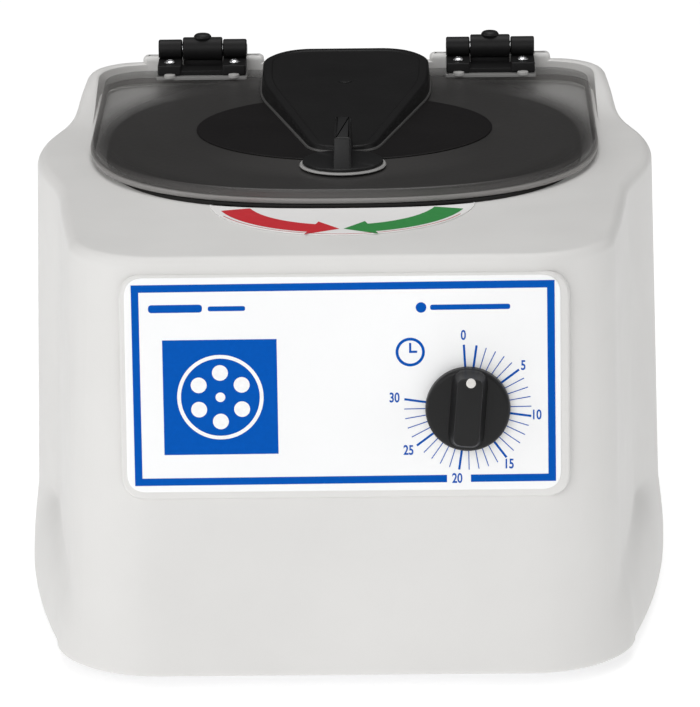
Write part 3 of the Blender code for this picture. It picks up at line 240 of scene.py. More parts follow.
SLEEVE = metal("anodised_sleeve", (0.66, 0.67, 0.69), 0.32, (1.0, 1.0, 0.2), 300.0)
RUBBER = rubber("black_rubber", PURE_BLACK)
# painted shade: the deck sign's white film is darkened to the shade it lies in
SIGN = plastic("sign_film_white_in_painted_shade", (0.86, 0.85, 0.84), 0.45, 700.0, 0.04, 0.00008, 0.2, 1.02)
# the cover's lip is a real part, but its grey is a painted highlight for the light caught along the black
# moulding's edge
LIP_PAINTED_HIGHLIGHT = plastic("cover_lip_painted_highlight", (0.060, 0.059, 0.058), 0.35, 1100.0, 0.12, 0.00015, 0.4, 1.6)
BOSS = plastic("frosted_boss", (0.40, 0.395, 0.385), 0.40, 1100.0, 0.10, 0.0001, 0.3, 1.2)
FLANGE = plastic("flange_grey", (0.31, 0.306, 0.30), 0.40, 1100.0, 0.12, 0.00015, 0.3, 1.3)
INK_BLUE = ink("print_blue", BLUE)
INK_RED = ink("print_red", (0.58, 0.035, 0.045))
INK_GREEN = ink("print_green", (0.045, 0.26, 0.07))
INK_BLACK = ink("print_black", (0.012, 0.014, 0.02))
INK_WHITE = ink("print_white", (0.95, 0.95, 0.95), 0.45)
INK_DOT = ink("dot_ivory", (0.74, 0.72, 0.69), 0.5)


def smoked(name, colour, alpha, rough, middle=None, edge=1.8):
    """See-through smoked plastic: hazy patches, fine scuffs and paler edges, which on the lid and its rim
    are painted highlights.
    """
    m = Nodes(name)
    haze = m.span(m.noise(14.0, 5.0, 0.65), 0.0, 1.0)
    body = m.mix(haze, shade(colour, 0.93), shade(colour, 1.07))
    # paler outer edges by the edge factor: on the lid and its rim a painted highlight where the rounded
    # edges catch light
    body = m.mix(m.edges(0.51, 0.56), body, shade(colour, edge))
    m.feed("Base Color", body)
    scuff = m.noise(380.0, 4.0, 0.7, (1.0, 9.0, 1.0))
    m.feed("Roughness", m.span(scuff, rough - 0.05, rough + 0.09))
    haze_and_painted_shade_alpha = m.span(haze, alpha - 0.02, alpha + 0.02, 0.0, 1.0)
    if middle is not None:
        # painted shade: denser and darker over the chamber, standing in for the chamber's shade seen
        # through the lid, thinning out softly towards the rear corners
        apart = m.add("ShaderNodeVectorMath", operation="MULTIPLY_ADD")
        apart.inputs[1].default_value = (1.09, 1.0, 0.0)
        apart.inputs[2].default_value = (0.0, -BOWL_Y, 0.0)
        m.link(m.where, apart.inputs[0])
        reach = m.add("ShaderNodeVectorMath", operation="LENGTH")
        m.link(apart.outputs["Vector"], reach.inputs[0])
        haze_and_painted_shade_alpha = m.span(reach.outputs["Value"], middle, alpha, 0.115, 0.142, "SMOOTHSTEP")
    m.feed("Alpha", haze_and_painted_shade_alpha)
    m.bump(m.noise(1400.0, 2.0), 0.10, 0.00008)
    m.set(Specular_IOR_Level=0.35)
    return m.made


# smoked_lid: its 0.86 middle is painted shade over the chamber, and its edge factor 4.0 a painted highlight
# on its edges
LID = smoked("smoked_lid", (0.040, 0.0385, 0.0375), 0.25, 0.34, 0.86, 4.0)
# the rim's edge factor 3.0 is a painted highlight along its rounded edges
LID_EDGE = smoked("smoked_lid_edge", (0.125, 0.121, 0.118), 0.72, 0.30, None, 3.0)
PAD = smoked("frosted_pad", (0.17, 0.168, 0.164), 0.80, 0.5)


# -------------------- mesh helpers
def mesh_data(name, vertices, faces):
    data = bpy.data.meshes.new(name)
    data.from_pydata([tuple(v) for v in vertices], [], faces)
    shell = bmesh.new()
    shell.from_mesh(data)
    bmesh.ops.recalc_face_normals(shell, faces=shell.faces)
    shell.to_mesh(data)
    shell.free()
    return data


def added(name, data):
    made = bpy.data.objects.new(name, data)
    bpy.context.scene.collection.objects.link(made)
    return made


def finish(data, surface, angle):
    """One material, smooth shading, and sharp edges past an angle in degrees."""
    data.materials.clear()
    data.materials.append(surface)
    data.shade_smooth()
    data.set_sharp_from_angle(angle=math.radians(angle))


def put(name, data, surface, body, angle=32.0, matrix=None):
    """Adds a finished mesh and lets it ride on a body."""
    if matrix is not None:
        data.transform(matrix)
    finish(data, surface, angle)
    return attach(added(name, data), body)


def loft_data(name, rings, loop=False):
    """Faces between rings of equal length, closed by two caps or back onto the first ring."""
    count = len(rings[0])
    vertices = [p for ring in rings for p in ring]
    faces = []
    for i in range(len(rings) if loop else len(rings) - 1):
        low = i * count
        high = ((i + 1) % len(rings)) * count
        for j in range(count):
            k = (j + 1) % count
            faces.append((low + j, low + k, high + k, high + j))
    if not loop:
        top = (len(rings) - 1) * count
        faces.append(tuple(range(count)))
        faces.append(tuple(top + j for j in range(count)))
    return mesh_data(name, vertices, faces)


def stacked(levels):
    """Rings of points from (plan, height) pairs."""
    return [[(x, y, z) for x, y in plan] for plan, z in levels]


def quarter_turn(steps):
    """Shares of a rounded edge's radius, across and down, from the side (0, 1) to the top (1, 0)."""
    for i in range(steps + 1):
        turn = math.pi / 2.0 * i / steps
        yield 1.0 - math.cos(turn), 1.0 - math.sin(turn)


def corner_curve(before, here, after, radius, steps, even=True):
    """A smooth curve that cuts a corner and uses less than half of either edge."""
    a, b, c = Vector(before), Vector(here), Vector(after)
    reach = [min(radius, (end - b).length * 0.45) for end in (a, c)]
    if even:
        reach = [min(reach)] * 2
    start = b + (a - b).normalized() * reach[0]
    end = b + (c - b).normalized() * reach[1]
    shares = [i / steps for i in range(steps + 1)]
    return [tuple(start * (1 - t) ** 2 + b * 2 * t * (1 - t) + end * t * t) for t in shares]


def circle(radius, z, count, centre):
    steps = [math.tau * i / count for i in range(count)]
    return [(centre[0] + radius * math.cos(a), centre[1] + radius * math.sin(a), z) for a in steps]


def turned(name, profile, count, centre=(0.0, 0.0), loop=False):
    """A (radius, height) profile turned about an upright axis."""
    return loft_data(name, [circle(r, z, count, centre) for r, z in profile], loop)


def soft_profile(points, radius):
    """Rounds the corners of a (radius, height) profile."""
    out = [points[0]]
    for before, here, after in zip(points, points[1:], points[2:]):
        out += corner_curve(before, here, after, radius, 4)
    return out + [points[-1]]


def round_plan(corners, radius, steps):
    """Rounds each corner of a closed plan outline."""
    out = []
    for i, here in enumerate(corners):
        out += corner_curve(corners[i - 1], here, corners[(i + 1) % len(corners)], radius, steps)
    return out


def inset_plan(points, distance):
    """Moves each point of a counter-clockwise plan inwards."""
    moved = []
    count = len(points)
    for i in range(count):
        along = (Vector(points[(i + 1) % count]) - Vector(points[i - 1])).normalized()
        moved.append(tuple(Vector(points[i]) + Vector((-along.y, along.x)) * distance))
    return moved


def dome_slab(name, plan, low, high, edge, steps, lower_edge=0.0):
    """A prism over a counter-clockwise plan with a rounded top edge."""
    levels = [(plan, low)]
    if lower_edge:
        levels = [(inset_plan(plan, lower_edge), low), (plan, low + lower_edge)]
    for across, down in quarter_turn(steps):
        levels.append((inset_plan(plan, edge * across), high - edge * down))
    # two flat rings keep the rubbed-edge colour at the edge
    levels += [(inset_plan(plan, edge + inside), high) for inside in (0.0005, 0.0012)]
    return loft_data(name, stacked(levels))


def rectangle(low, high):
    return [(low[0], low[1]), (high[0], low[1]), (high[0], high[1]), (low[0], high[1])]


def plain_block(name, low, high):
    return loft_data(name, stacked([(rectangle(low, high), z) for z in (low[2], high[2])]))


def bevelled_block(name, low, high, radius, segments=3):
    data = plain_block(name, low, high)
    work = bmesh.new()
    work.from_mesh(data)
    bmesh.ops.bevel(work, geom=work.edges[:], offset=radius, segments=segments, profile=0.5, affect="EDGES")
    work.to_mesh(data)
    work.free()
    return data


def joined(name, parts):
    """One mesh from several."""
    work = bmesh.new()
    for part in parts:
        work.from_mesh(part)
    data = bpy.data.meshes.new(name)
    work.to_mesh(data)
    work.free()
    return data


def cut(made, cutter_data, matrix=None):
    """Takes a cutter out of a visible piece for good."""
    if matrix is not None:
        cutter_data.transform(matrix)
    tool = added("cutter", cutter_data)
    step = made.modifiers.new("cut", "BOOLEAN")
    step.operation = "DIFFERENCE"
    step.object = tool
    step.solver = "EXACT"
    graph = bpy.context.evaluated_depsgraph_get()
    made.data = bpy.data.meshes.new_from_object(made.evaluated_get(graph))
    made.modifiers.clear()
    bpy.data.objects.remove(tool, do_unlink=True)


def cross_slot(screw, half, heights, place, first_turn):
    """Cuts two crossed slots into a screw's head."""
    for turn in (first_turn, first_turn + 90.0):
        low, high = (-half[0], -half[1], heights[0]), (*half, heights[1])
        bar = bevelled_block("c", low, high, 0.00005, 1)
        cut(screw, bar, place @ Matrix.Rotation(math.radians(turn), 4, "Z"))


# -------------------- housing plan
def front_y(z):
    return FRONT_BASE_Y + (z - BASE_Z) * LEAN_RUN / LEAN_RISE


def bowed_box(half, bow, corners, front, back):
    """Half outline of a box with gently bowed sides and two corner radii, front to back."""
    def side_x(y):
        return half - (y - PLAN_MID_Y) ** 2 / (2.0 * bow)

    steps = 14
    points = [(0.0, front)]
    for sign, end, corner in ((-1.0, front, corners[0]), (1.0, back, corners[1])):
        centre_y = end - sign * corner
        centre_x = side_x(centre_y) - corner
        arc = []
        for i in range(steps):
            angle = math.pi / 2.0 * i / (steps - 1)
            arc.append((centre_x + corner * math.sin(angle), centre_y + sign * corner * math.cos(angle)))
        if sign > 0.0:
            start_y = points[-1][1]
            stretch = [start_y + (centre_y - start_y) * i / steps for i in range(1, steps)]
            points.extend((side_x(y), y) for y in stretch)
            arc.reverse()
        points.extend(arc)
    points.append((0.0, back))
    return points


def nearest_hit(outline, dx, dy):
    """Distance from the origin, along a direction, to the first crossing of an outline."""
    best = math.inf
    for (x0, y0), (x1, y1) in zip(outline, outline[1:]):
        cross = dx * (y1 - y0) - dy * (x1 - x0)
        if abs(cross) < 1e-12:
            continue
        along = (x0 * (y1 - y0) - y0 * (x1 - x0)) / cross
        part = (x0 * dy - y0 * dx) / cross
        if 0.0 < along < best and -1e-6 <= part <= 1.0 + 1e-6:
            best = along
    return best


def reach_along(outline, angle):
    return nearest_hit(outline, math.sin(angle), -math.cos(angle))


def soft_max(a, b, blend):
    share = max(blend - abs(a - b), 0.0) / blend
    return max(a, b) + share * share * blend / 4.0


def circle_reach(radius, centre_y, angle):
    return -math.cos(angle) * centre_y + math.sqrt(radius ** 2 - (centre_y * math.sin(angle)) ** 2)


def level_plan(angles, z):
    """Half plan of the housing at a height, front to back."""
    spread = (DECK_Z - z) * WALL_DRAFT
    core = bowed_box(DECK_HALF + spread, 1.2, (0.042, 0.028), front_y(z), BACK_Y)
    climb = (z - BASE_Z) / FOOT_HIGH
    foot = None
    if climb < 1.0:
        inset = FOOT_FLARE * (1.0 - math.sqrt(1.0 - climb ** 2))
        front = front_y(z) + 0.004 + inset
        foot = bowed_box(FOOT_HALF - inset, 0.755, (0.045, 0.045), front, BACK_Y - 0.004 - inset)
    half = []
    for angle in angles:
        reach = reach_along(core, angle)
        bulge = circle_reach(BULGE_R + spread, BOWL_Y, angle)
        if math.cos(angle) < 0.0:
            bulge = min(bulge, -BULGE_BACK_Y / math.cos(angle))
        reach = soft_max(reach, bulge, 0.009)
        if foot:
            reach = soft_max(reach, reach_along(foot, angle), 0.004)
        half.append((reach * math.sin(angle), -reach * math.cos(angle)))
    return half


def whole(half):
    return half + [(-x, y) for x, y in reversed(half[1:-1])]


def housing_angles():
    """Angles that put more points where the plan turns sharply."""
    count = 240
    fine = 1440
    angles = [math.pi * i / fine for i in range(fine + 1)]
    points = [Vector(p) for p in level_plan(angles, DECK_Z - DECK_FILLET)]
    weight = [0.0]
    for i in range(1, fine + 1):
        turn = 0.0
        if i < fine:
            turn = abs((points[i] - points[i - 1]).angle_signed(points[i + 1] - points[i]))
        weight.append(weight[-1] + (points[i] - points[i - 1]).length + 0.045 * turn)
    chosen = []
    j = 0
    for i in range(count // 2 + 1):
        goal = weight[-1] * i / (count // 2)
        while j < fine and weight[j] < goal:
            j += 1
        chosen.append(angles[j])
    return chosen


def ramp(value, low, high):
    t = min(max((value - low) / (high - low), 0.0), 1.0)
    return t * t * (3.0 - 2.0 * t)


def lid_outline(grow=0.0):
    """The lid's plan, round in front and square at the back, counter-clockwise from the front."""
    quarter = 48
    half = 0.122 + grow
    reach = 0.1205 + grow
    back = 0.1747 + grow
    corner = 0.021 + grow
    middle = LID_MID_Y
    right = []
    for i in range(quarter):
        angle = math.pi / 2.0 * i / quarter
        right.append((half * math.sin(angle) ** 0.8, middle - reach * math.cos(angle) ** 0.8))
    for i in range(12):
        right.append((half, middle + (back - corner - middle) * i / 12))
    for i in range(15):
        angle = math.pi / 2.0 * i / 14
        right.append((half - corner + corner * math.cos(angle), back - corner + corner * math.sin(angle)))
    for i in range(1, 9):
        right.append(((half - corner) * (1.0 - i / 9.0), back))
    return right + [(0.0, back)] + [(-x, y) for x, y in reversed(right[1:])]


def along_rays(outline, plan):
    """Points where rays from the origin through a plan's points meet a closed outline."""
    ways = [Vector(point).normalized() for point in plan]
    return [tuple(way * nearest_hit(outline + outline[:1], way.x, way.y)) for way in ways]


def panel_matrix(x=PANEL_X, drop=0.053):
    """Axes on the leaning front: x to the right, y up the slope, z outwards."""
    origin = Vector((x, front_y(PANEL_TOP_Z), PANEL_TOP_Z))
    up = Vector((0.0, math.sin(LEAN), math.cos(LEAN)))
    outward = Vector((0.0, -math.cos(LEAN), math.sin(LEAN)))
    axes = Matrix((Vector((1.0, 0.0, 0.0)), up, outward)).transposed().to_4x4()
    return Matrix.Translation(origin - up * drop) @ axes


def collar(y):
    """0 on the deck, 1 along the raised rear collar."""
    return ramp(y, 0.088, 0.170)


def housing_rings():
    """Rings of the thin shell: up the outside, over the deck to its opening, down the inside."""
    angles = housing_angles()

    def plan_at(z):
        return whole(level_plan(angles, z))

    rings = []
    edge = 0.0018
    for rise, inset in quarter_turn(4):
        z = BASE_Z + edge * rise
        rings += stacked([(inset_plan(plan_at(z), edge * inset), z)])
    heights = [0.010, 0.014, 0.018, 0.022, 0.026, 0.030, 0.034, 0.037, 0.040, 0.0425, 0.0445, 0.046, 0.0475]
    heights += [0.050, 0.056, 0.066, 0.082, 0.100, 0.120, 0.140, 0.160, 0.178]
    rings += stacked([(plan_at(z), z) for z in heights])
    rim = plan_at(DECK_Z - DECK_FILLET)
    unit = inset_plan(rim, 1.0)
    for across, down in quarter_turn(8):
        ring = []
        for (x, y), (ux, uy) in zip(rim, unit):
            radius = DECK_FILLET + 0.001 * collar(y)
            inset = radius * across
            z = DECK_Z + COLLAR_RISE * collar(y) - radius * down
            ring.append((x + (ux - x) * inset, y + (uy - y) * inset, z))
        rings.append(ring)
    # the collar's inner edge, a soft step and the flat seat round the lid
    for gap, rise in ((0.0040, COLLAR_RISE), (0.0032, COLLAR_RISE - 0.0007), (0.0029, 0.0)):
        rings.append([(x, y, DECK_Z + rise * collar(y)) for x, y in along_rays(lid_outline(gap), rim)])
    opening = []
    for x, y in rim:
        angle = math.atan2(x, -y)
        reach = circle_reach(OPENING_R, BOWL_Y, abs(angle))
        opening.append((reach * math.sin(angle), -reach * math.cos(angle)))
    under = DECK_Z - WALL
    levels = [(opening, DECK_Z), (opening, under)]
    levels += [(inset_plan(rim, DECK_FILLET + WALL), under), (inset_plan(rim, WALL), under - DECK_FILLET)]
    levels += [(inset_plan(plan_at(z), WALL), z) for z in (0.058, 0.043, 0.030, 0.018, BASE_Z)]
    return rings + stacked(levels)


def make_housing():
    """The shell, with the inlet's hole and the vent slots cut into its back."""
    data = loft_data("housing_shell", housing_rings(), loop=True)
    shell = put("housing_shell", data, HOUSING, "base", 38.0)
    low = (INLET_X - INLET_HALF, BACK_Y - 0.01, INLET_Z - INLET_HALF_HIGH)
    high = (INLET_X + INLET_HALF, BACK_Y + 0.0125, INLET_Z + INLET_HALF_HIGH)
    cut(shell, plain_block("c", low, high))
    for row in range(6):
        z = 0.052 + row * 0.0085
        slot = round_plan(rectangle((-0.104, z - 0.0016), (-0.036, z + 0.0016)), 0.0015, 4)
        cut(shell, loft_data("c", [[(x, y, v) for x, v in slot] for y in (BACK_Y - 0.0024, BACK_Y + 0.01)]))
    finish(shell.data, HOUSING, 38.0)
    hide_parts("housing")


def make_panel_frame():
    """Raised pad round the printed panel."""
    plan = round_plan(rectangle((-0.1015, -0.0521), (0.1020, 0.0517)), 0.012, 10)
    levels = [(plan, -0.0010), (inset_plan(plan, 0.0002), 0.0003)]
    for across, down in quarter_turn(5):
        levels.append((inset_plan(plan, 0.0004 + 0.0012 * across), 0.0018 - 0.0012 * down))
    data = loft_data("panel_frame", stacked(levels))
    put("panel_frame", data, HOUSING, "base", 50.0, panel_matrix())


def make_rear_humps():
    """Low seats for the hinges on the rear collar."""
    for side, word in ((-1.0, "left"), (1.0, "right")):
        x = side * HINGE_X
        plan = round_plan(rectangle((x - 0.0308, BACK_Y - 0.0094), (x + 0.0308, BACK_Y - 0.0010)), 0.003, 6)
        hump = dome_slab("rear_hump_" + word, plan, 0.2080, HUMP_TOP_Z, 0.0024, 5)
        put("rear_hump_" + word, hump, HOUSING, "base", 50.0)


make_housing()
make_panel_frame()
make_rear_humps()


# -------------------- printed panel
def print_matrix():
    """The print sits a quarter of a degree off square on the panel."""
    return panel_matrix() @ Matrix.Rotation(math.radians(0.22), 4, "Z")


def printed(name, vertices, faces, surface, matrix=None):
    """A thin printed mesh, on the panel unless a matrix says otherwise."""
    data = bpy.data.meshes.new(name)
    data.from_pydata(vertices, [], faces)
    return put(name, data, surface, "base", 32.0, print_matrix() if matrix is None else matrix)


def flat(name, outlines, surface, out, matrix=None):
    """Printed shapes, each given as a plan outline."""
    vertices = []
    faces = []
    for outline in outlines:
        first = len(vertices)
        vertices.extend((x, y, out) for x, y in outline)
        faces.append(tuple(range(first, first + len(outline))))
    return printed(name, vertices, faces, surface, matrix)


def ring_strip(name, outer, inner, surface, out):
    """A printed band between two outlines of equal length."""
    count = len(outer)
    vertices = [(x, y, out) for x, y in outer + inner]
    faces = [(j, (j + 1) % count, count + (j + 1) % count, count + j) for j in range(count)]
    return printed(name, vertices, faces, surface)


def printed_text(name, words, size, place):
    """Narrow bold numerals as a flat mesh."""
    curve = bpy.data.curves.new(name, "FONT")
    curve.body = words
    curve.size = size
    curve.align_x = "CENTER"
    curve.align_y = "CENTER"
    curve.offset = size * 0.022
    made = added(name, curve)
    graph = bpy.context.evaluated_depsgraph_get()
    graph.update()
    data = bpy.data.meshes.new_from_object(made.evaluated_get(graph))
    bpy.data.objects.remove(made, do_unlink=True)
    data.transform(Matrix.Translation((place[0], place[1], 0.0)) @ Matrix.Diagonal((0.76, 1.0, 1.0, 1.0)))
    data.materials.clear()
    return data


def make_label():
    """The panel's film with its blue border, open under the scale's 20."""
    plan = round_plan(rectangle((-0.0986, -0.0482), (0.0977, 0.0504)), 0.0090, 10)
    film = dome_slab("label_film", plan, 0.0018, LABEL_FACE, 0.00025, 3)
    film = put("label_film", film, FILM, "base", 40.0, panel_matrix())
    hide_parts("control_label")

    width = 0.0034
    low, high = (-0.0953, -0.0448), (0.0952, 0.0477)
    gap = (0.0459, 0.0567)
    bars = [
        rectangle((low[0], high[1] - width), high),
        rectangle(low, (gap[0], low[1] + width)),
        rectangle((gap[1], low[1]), (high[0], low[1] + width)),
        rectangle((low[0], low[1] + width), (low[0] + width, high[1] - width)),
        rectangle((high[0] - width, low[1] + width), (high[0], high[1] - width)),
    ]
    flat("label_border", bars, INK_BLUE, INK_OUT)


def ring(radius, middle, count=64):
    """A circle in panel coordinates."""
    return [point[:2] for point in circle(radius, 0.0, count, middle)]


def make_icon():
    """A plain blue square with a six-place rotor seen from above."""
    left, top = -0.0817, 0.0223
    right, bottom = -0.0301, -0.0306
    flat("label_square", [rectangle((left, bottom), (right, top))], INK_BLUE, INK_OUT)
    centre = Vector(((left + right) / 2.0, (top + bottom) / 2.0))
    ring_strip("label_icon_ring", ring(0.0195, centre), ring(0.0178, centre), INK_WHITE, TOP_OUT)
    dots = [ring(0.0022, centre, 32)]
    for i in range(6):
        angle = math.tau * (i + 0.5) / 6
        dots.append(ring(0.0036, centre + Vector((math.cos(angle), math.sin(angle))) * 0.0112, 32))
    flat("label_icon_places", dots, INK_WHITE, TOP_OUT)


def make_bars():
    """Plain bars and a dot in place of headings."""
    bars = []
    for x, y, length, height in (
        (-0.0877, 0.0367, 0.0243, 0.0036),
        (-0.0608, 0.0365, 0.0168, 0.0022),
        (0.0392, 0.0359, 0.0360, 0.0024),
    ):
        half = height / 2.0
        bars.append(round_plan(rectangle((x, y - half), (x + length, y + half)), half, 5))
    flat("label_bars", bars, INK_BLUE, INK_OUT)
    flat("label_bar_dot", [ring(0.0024, Vector((0.0351, 0.0359)), 32)], INK_BLUE, INK_OUT)


def make_clock():
    """A small clock beside the dial."""
    spot = Vector((0.0300, 0.0155))
    ring_strip("clock_ring", ring(0.0066, spot), ring(0.0053, spot), INK_BLUE, INK_OUT)
    hands = [
        rectangle((spot.x - 0.0005, spot.y - 0.0004), (spot.x + 0.0005, spot.y + 0.0042)),
        rectangle((spot.x + 0.0005, spot.y - 0.0004), (spot.x + 0.0031, spot.y + 0.0006)),
    ]
    flat("clock_hands", hands, INK_BLUE, INK_OUT)


def make_scale():
    """Timer scale: 0 to 30 round the knob, clockwise."""
    dial = panel_matrix(DIAL_X, DIAL_DROP)
    inner = 0.0175

    def tick(angle, outer, width):
        way = Vector((math.sin(math.radians(angle)), math.cos(math.radians(angle))))
        side = Vector((way.y, -way.x)) * width / 2.0
        corners = (way * inner - side, way * outer - side, way * outer + side, way * inner + side)
        return [tuple(corner) for corner in corners]

    thick = [tick(8.2 + 9.0 * minute, 0.0289, 0.00100) for minute in range(0, 31, 5)]
    thick.append(tick(-3.2, 0.0290, 0.00100))
    thin = [tick(8.2 + 9.0 * minute, 0.0287, 0.00042) for minute in range(31) if minute % 5]
    flat("scale_five_minutes", thick, INK_BLUE, INK_OUT, matrix=dial)
    flat("scale_minutes", thin, INK_BLUE, INK_OUT, matrix=dial)
    spots = {
        0: (-0.0018, 0.0332),
        5: (0.0251, 0.0191),
        10: (0.0309, -0.0037),
        15: (0.0184, -0.0263),
        20: (-0.0050, -0.0328),
        25: (-0.0269, -0.0196),
        30: (-0.0331, 0.0047),
    }
    parts = [printed_text("number", str(value), 0.0062, spot) for value, spot in spots.items()]
    data = joined("scale_numbers", parts)
    data.transform(Matrix.Translation((0.0, 0.0, INK_OUT)))
    put("scale_numbers", data, INK_BLUE, "base", 32.0, dial)


make_label()
make_icon()
make_bars()
make_clock()
make_scale()


# -------------------- deck sign
def superellipse(half, reach, angle, power=2.7):
    """A point of a squarish oval round the lid's middle, the angle taken from the front."""
    s, c = abs(math.sin(angle)), abs(math.cos(angle))
    distance = ((s / half) ** power + (c / reach) ** power) ** (-1.0 / power)
    return distance * math.sin(angle), LID_MID_Y - distance * math.cos(angle)


def sign_point(radius, angle):
    """A point round the sign's centre, the angle taken from the front."""
    return radius * math.sin(angle), SIGN_Y - radius * math.cos(angle)


def sign_plan():
    """A disc cut off behind by the lid's front edge."""
    steps = 40
    span = math.radians(29.3)
    back = [superellipse(0.1203, 0.1231, span * (1.0 - 2.0 * i / steps)) for i in range(steps + 1)]
    back = [p for p in back if math.hypot(p[0], p[1] - SIGN_Y) <= SIGN_R]
    half_arc = math.atan2(back[0][0], SIGN_Y - back[0][1])
    return back + [sign_point(SIGN_R, half_arc * (i / steps - 1.0)) for i in range(2 * steps + 1)]


def arrow(side, r_out, r_in, start, end, head):
    """Shaft and head of a curved arrow round the sign's centre; angles from the front in degrees."""
    def at(radius, angle):
        x, y = sign_point(radius, math.radians(angle))
        return side * x, y

    steps = 24
    angles = [start + (end - start) * i / steps for i in range(steps + 1)]
    shaft = [at(r_out, a) for a in angles] + [at(r_in, a) for a in reversed(angles)]
    middle = (r_out + r_in) / 2.0
    half = (r_out - r_in) * 0.85
    return shaft, [at(middle - half, start), at(middle, start - head), at(middle + half, start)]


def make_sign():
    top = DECK_Z + 0.0006
    print_z = top + 0.00006
    here = Matrix.Identity(4)
    data = dome_slab("deck_sign", sign_plan(), DECK_Z + 0.0001, top, 0.0001, 1)
    film = put("deck_sign", data, SIGN, "base")
    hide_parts("deck_label")
    steps = 60
    half_arc = math.radians(64.0)
    angles = [half_arc * (i / steps * 2.0 - 1.0) for i in range(steps + 1)]
    band = [sign_point(SIGN_R - 0.0009, a) for a in angles]
    band += [sign_point(SIGN_R - 0.0014, a) for a in reversed(angles)]
    flat("sign_line", [band], INK_RED, print_z, matrix=here)
    for side, word, surface in ((-1.0, "open", INK_RED), (1.0, "close", INK_GREEN)):
        shaft, barbs = arrow(side, 0.0588, 0.0448, 15.5, 73.0, 14.5)
        flat("sign_arrow_" + word, [shaft, barbs], surface, print_z, matrix=here)


make_sign()


def make_back():
    """Blank rating plate and cover screws on the back."""
    facing = Matrix.Rotation(-math.pi / 2.0, 4, "X")
    turn = Matrix.Translation((0.005, BACK_Y, 0.118)) @ facing @ Matrix.Rotation(math.pi, 4, "Z")
    plan = round_plan(rectangle((-0.032, -0.019), (0.032, 0.019)), 0.003, 6)
    data = dome_slab("rating_plate", plan, 0.0, 0.0007, 0.00015, 2)
    plate = put("rating_plate", data, PLATE, "base", 40.0, turn)
    left = -0.027
    lines = [rectangle((left, 0.0135), (-left, 0.0145))]
    for i in range(4):
        drop = 0.0055 * i
        lines.append(rectangle((left, 0.0070 - drop), (0.005 + 0.006 * (i % 3), 0.0076 - drop)))
    flat("rating_lines", lines, INK_BLACK, 0.00078, matrix=turn)
    corners = [(side * 0.10974, z) for z in (0.178, 0.030) for side in (-1.0, 1.0)]
    for i, (x, z) in enumerate(corners):
        place = Matrix.Translation((x, BACK_Y, z)) @ facing
        points = [(0.0003, 0.0), (0.0042, 0.0), (0.0040, 0.0007), (0.0020, 0.0019), (0.0003, 0.0020)]
        data = turned("s", soft_profile(points, 0.0005), 48)
        screw = put("back_screw_%d" % (i + 1), data, STEEL, "base", 40.0, place)
        cross_slot(screw, (0.0024, 0.0004), (0.0006, 0.0040), place, 15.0)


make_back()


# -------------------- seal and lid
def make_seal():
    """Flat rubber ring between the deck and the lid, round inside and squarish outside."""
    angles = [math.tau * i / 160 for i in range(160)]
    outer, low_outer = [], []
    for angle in angles:
        ahead = math.cos(angle) > 0.0
        # the seal is real, but its reach out past the lid's front edge is painted shade, a black strip
        # standing in for the shadow under that edge
        reach = 0.1228 if ahead else 0.1205
        power = 2.72 if ahead else 2.5
        outer.append(superellipse(0.1150, reach, angle, power))
        low_outer.append(superellipse(0.1146, reach - 0.0004, angle, power))
    inner = [(0.112 * math.sin(a), BOWL_Y - 0.112 * math.cos(a)) for a in angles]
    low = DECK_Z + 0.0002
    high = low + 0.0014
    levels = ((outer, low), (outer, low + 0.0010), (low_outer, high), (inner, high), (inner, low))
    seal = put("seal_ring", loft_data("seal_ring", stacked(levels), loop=True), RUBBER, "base", 50.0)
    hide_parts("lid_seal")


def make_lid():
    """Smoked sheet with a hole for the latch's shaft, over a slightly wider moulded rim."""
    plan = lid_outline()
    inner = inset_plan(plan, 0.0014)
    rim_top = 0.2046
    under = LID_TOP_Z - 0.004
    hole = []
    for x, y in plan:
        way = Vector((x, y - LATCH_Y)).normalized() * 0.0044
        hole.append((way.x, LATCH_Y + way.y))
    wide_hole = [(x * 1.5, LATCH_Y + (y - LATCH_Y) * 1.5) for x, y in hole]
    levels = [(hole, LID_TOP_Z), (wide_hole, LID_TOP_Z)]
    levels += [(inset_plan(plan, inside), LID_TOP_Z) for inside in (0.0050, 0.0028)]
    edge = 0.0014
    for down, across in quarter_turn(5):
        levels.append((inset_plan(plan, edge * across), LID_TOP_Z - edge * down))
    levels += [(plan, rim_top), (inner, rim_top), (inner, under), (hole, under)]
    sheet = put("lid_sheet", loft_data("lid_sheet", stacked(levels), loop=True), LID, "lid_group", 50.0)
    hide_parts("lid")
    step = inset_plan(plan, -0.0010)
    levels = [(plan, 0.2045), (inset_plan(plan, -0.0007), 0.2044), (step, 0.2041), (step, 0.2023)]
    levels += [(inset_plan(plan, -0.0006), 0.2019), (inner, 0.2019), (inner, 0.2045)]
    rim = put("lid_rim", loft_data("lid_rim", stacked(levels), loop=True), LID_EDGE, "lid_group", 50.0)


def make_disc():
    low = LID_TOP_Z + 0.0001
    high = low + 0.0006
    profile = [(0.0716, low), (0.0718, low + 0.0003), (0.0715, high), (0.0705, high), (0.0690, high)]
    shape = Matrix.Translation((0.0, BOWL_Y + 0.0060, 0.0)) @ Matrix.Diagonal((1.0, 0.905, 1.0, 1.0))
    disc = put("disc_film", turned("disc_film", profile, 160), DISC, "lid_group", 50.0, shape)
    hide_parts("lid_disc")


def cover_top(y):
    """Height of the wedge's top, rising towards the hinges."""
    return 0.2124 + (y - 0.0007) * (0.2207 - 0.2124) / (0.1683 - 0.0007)


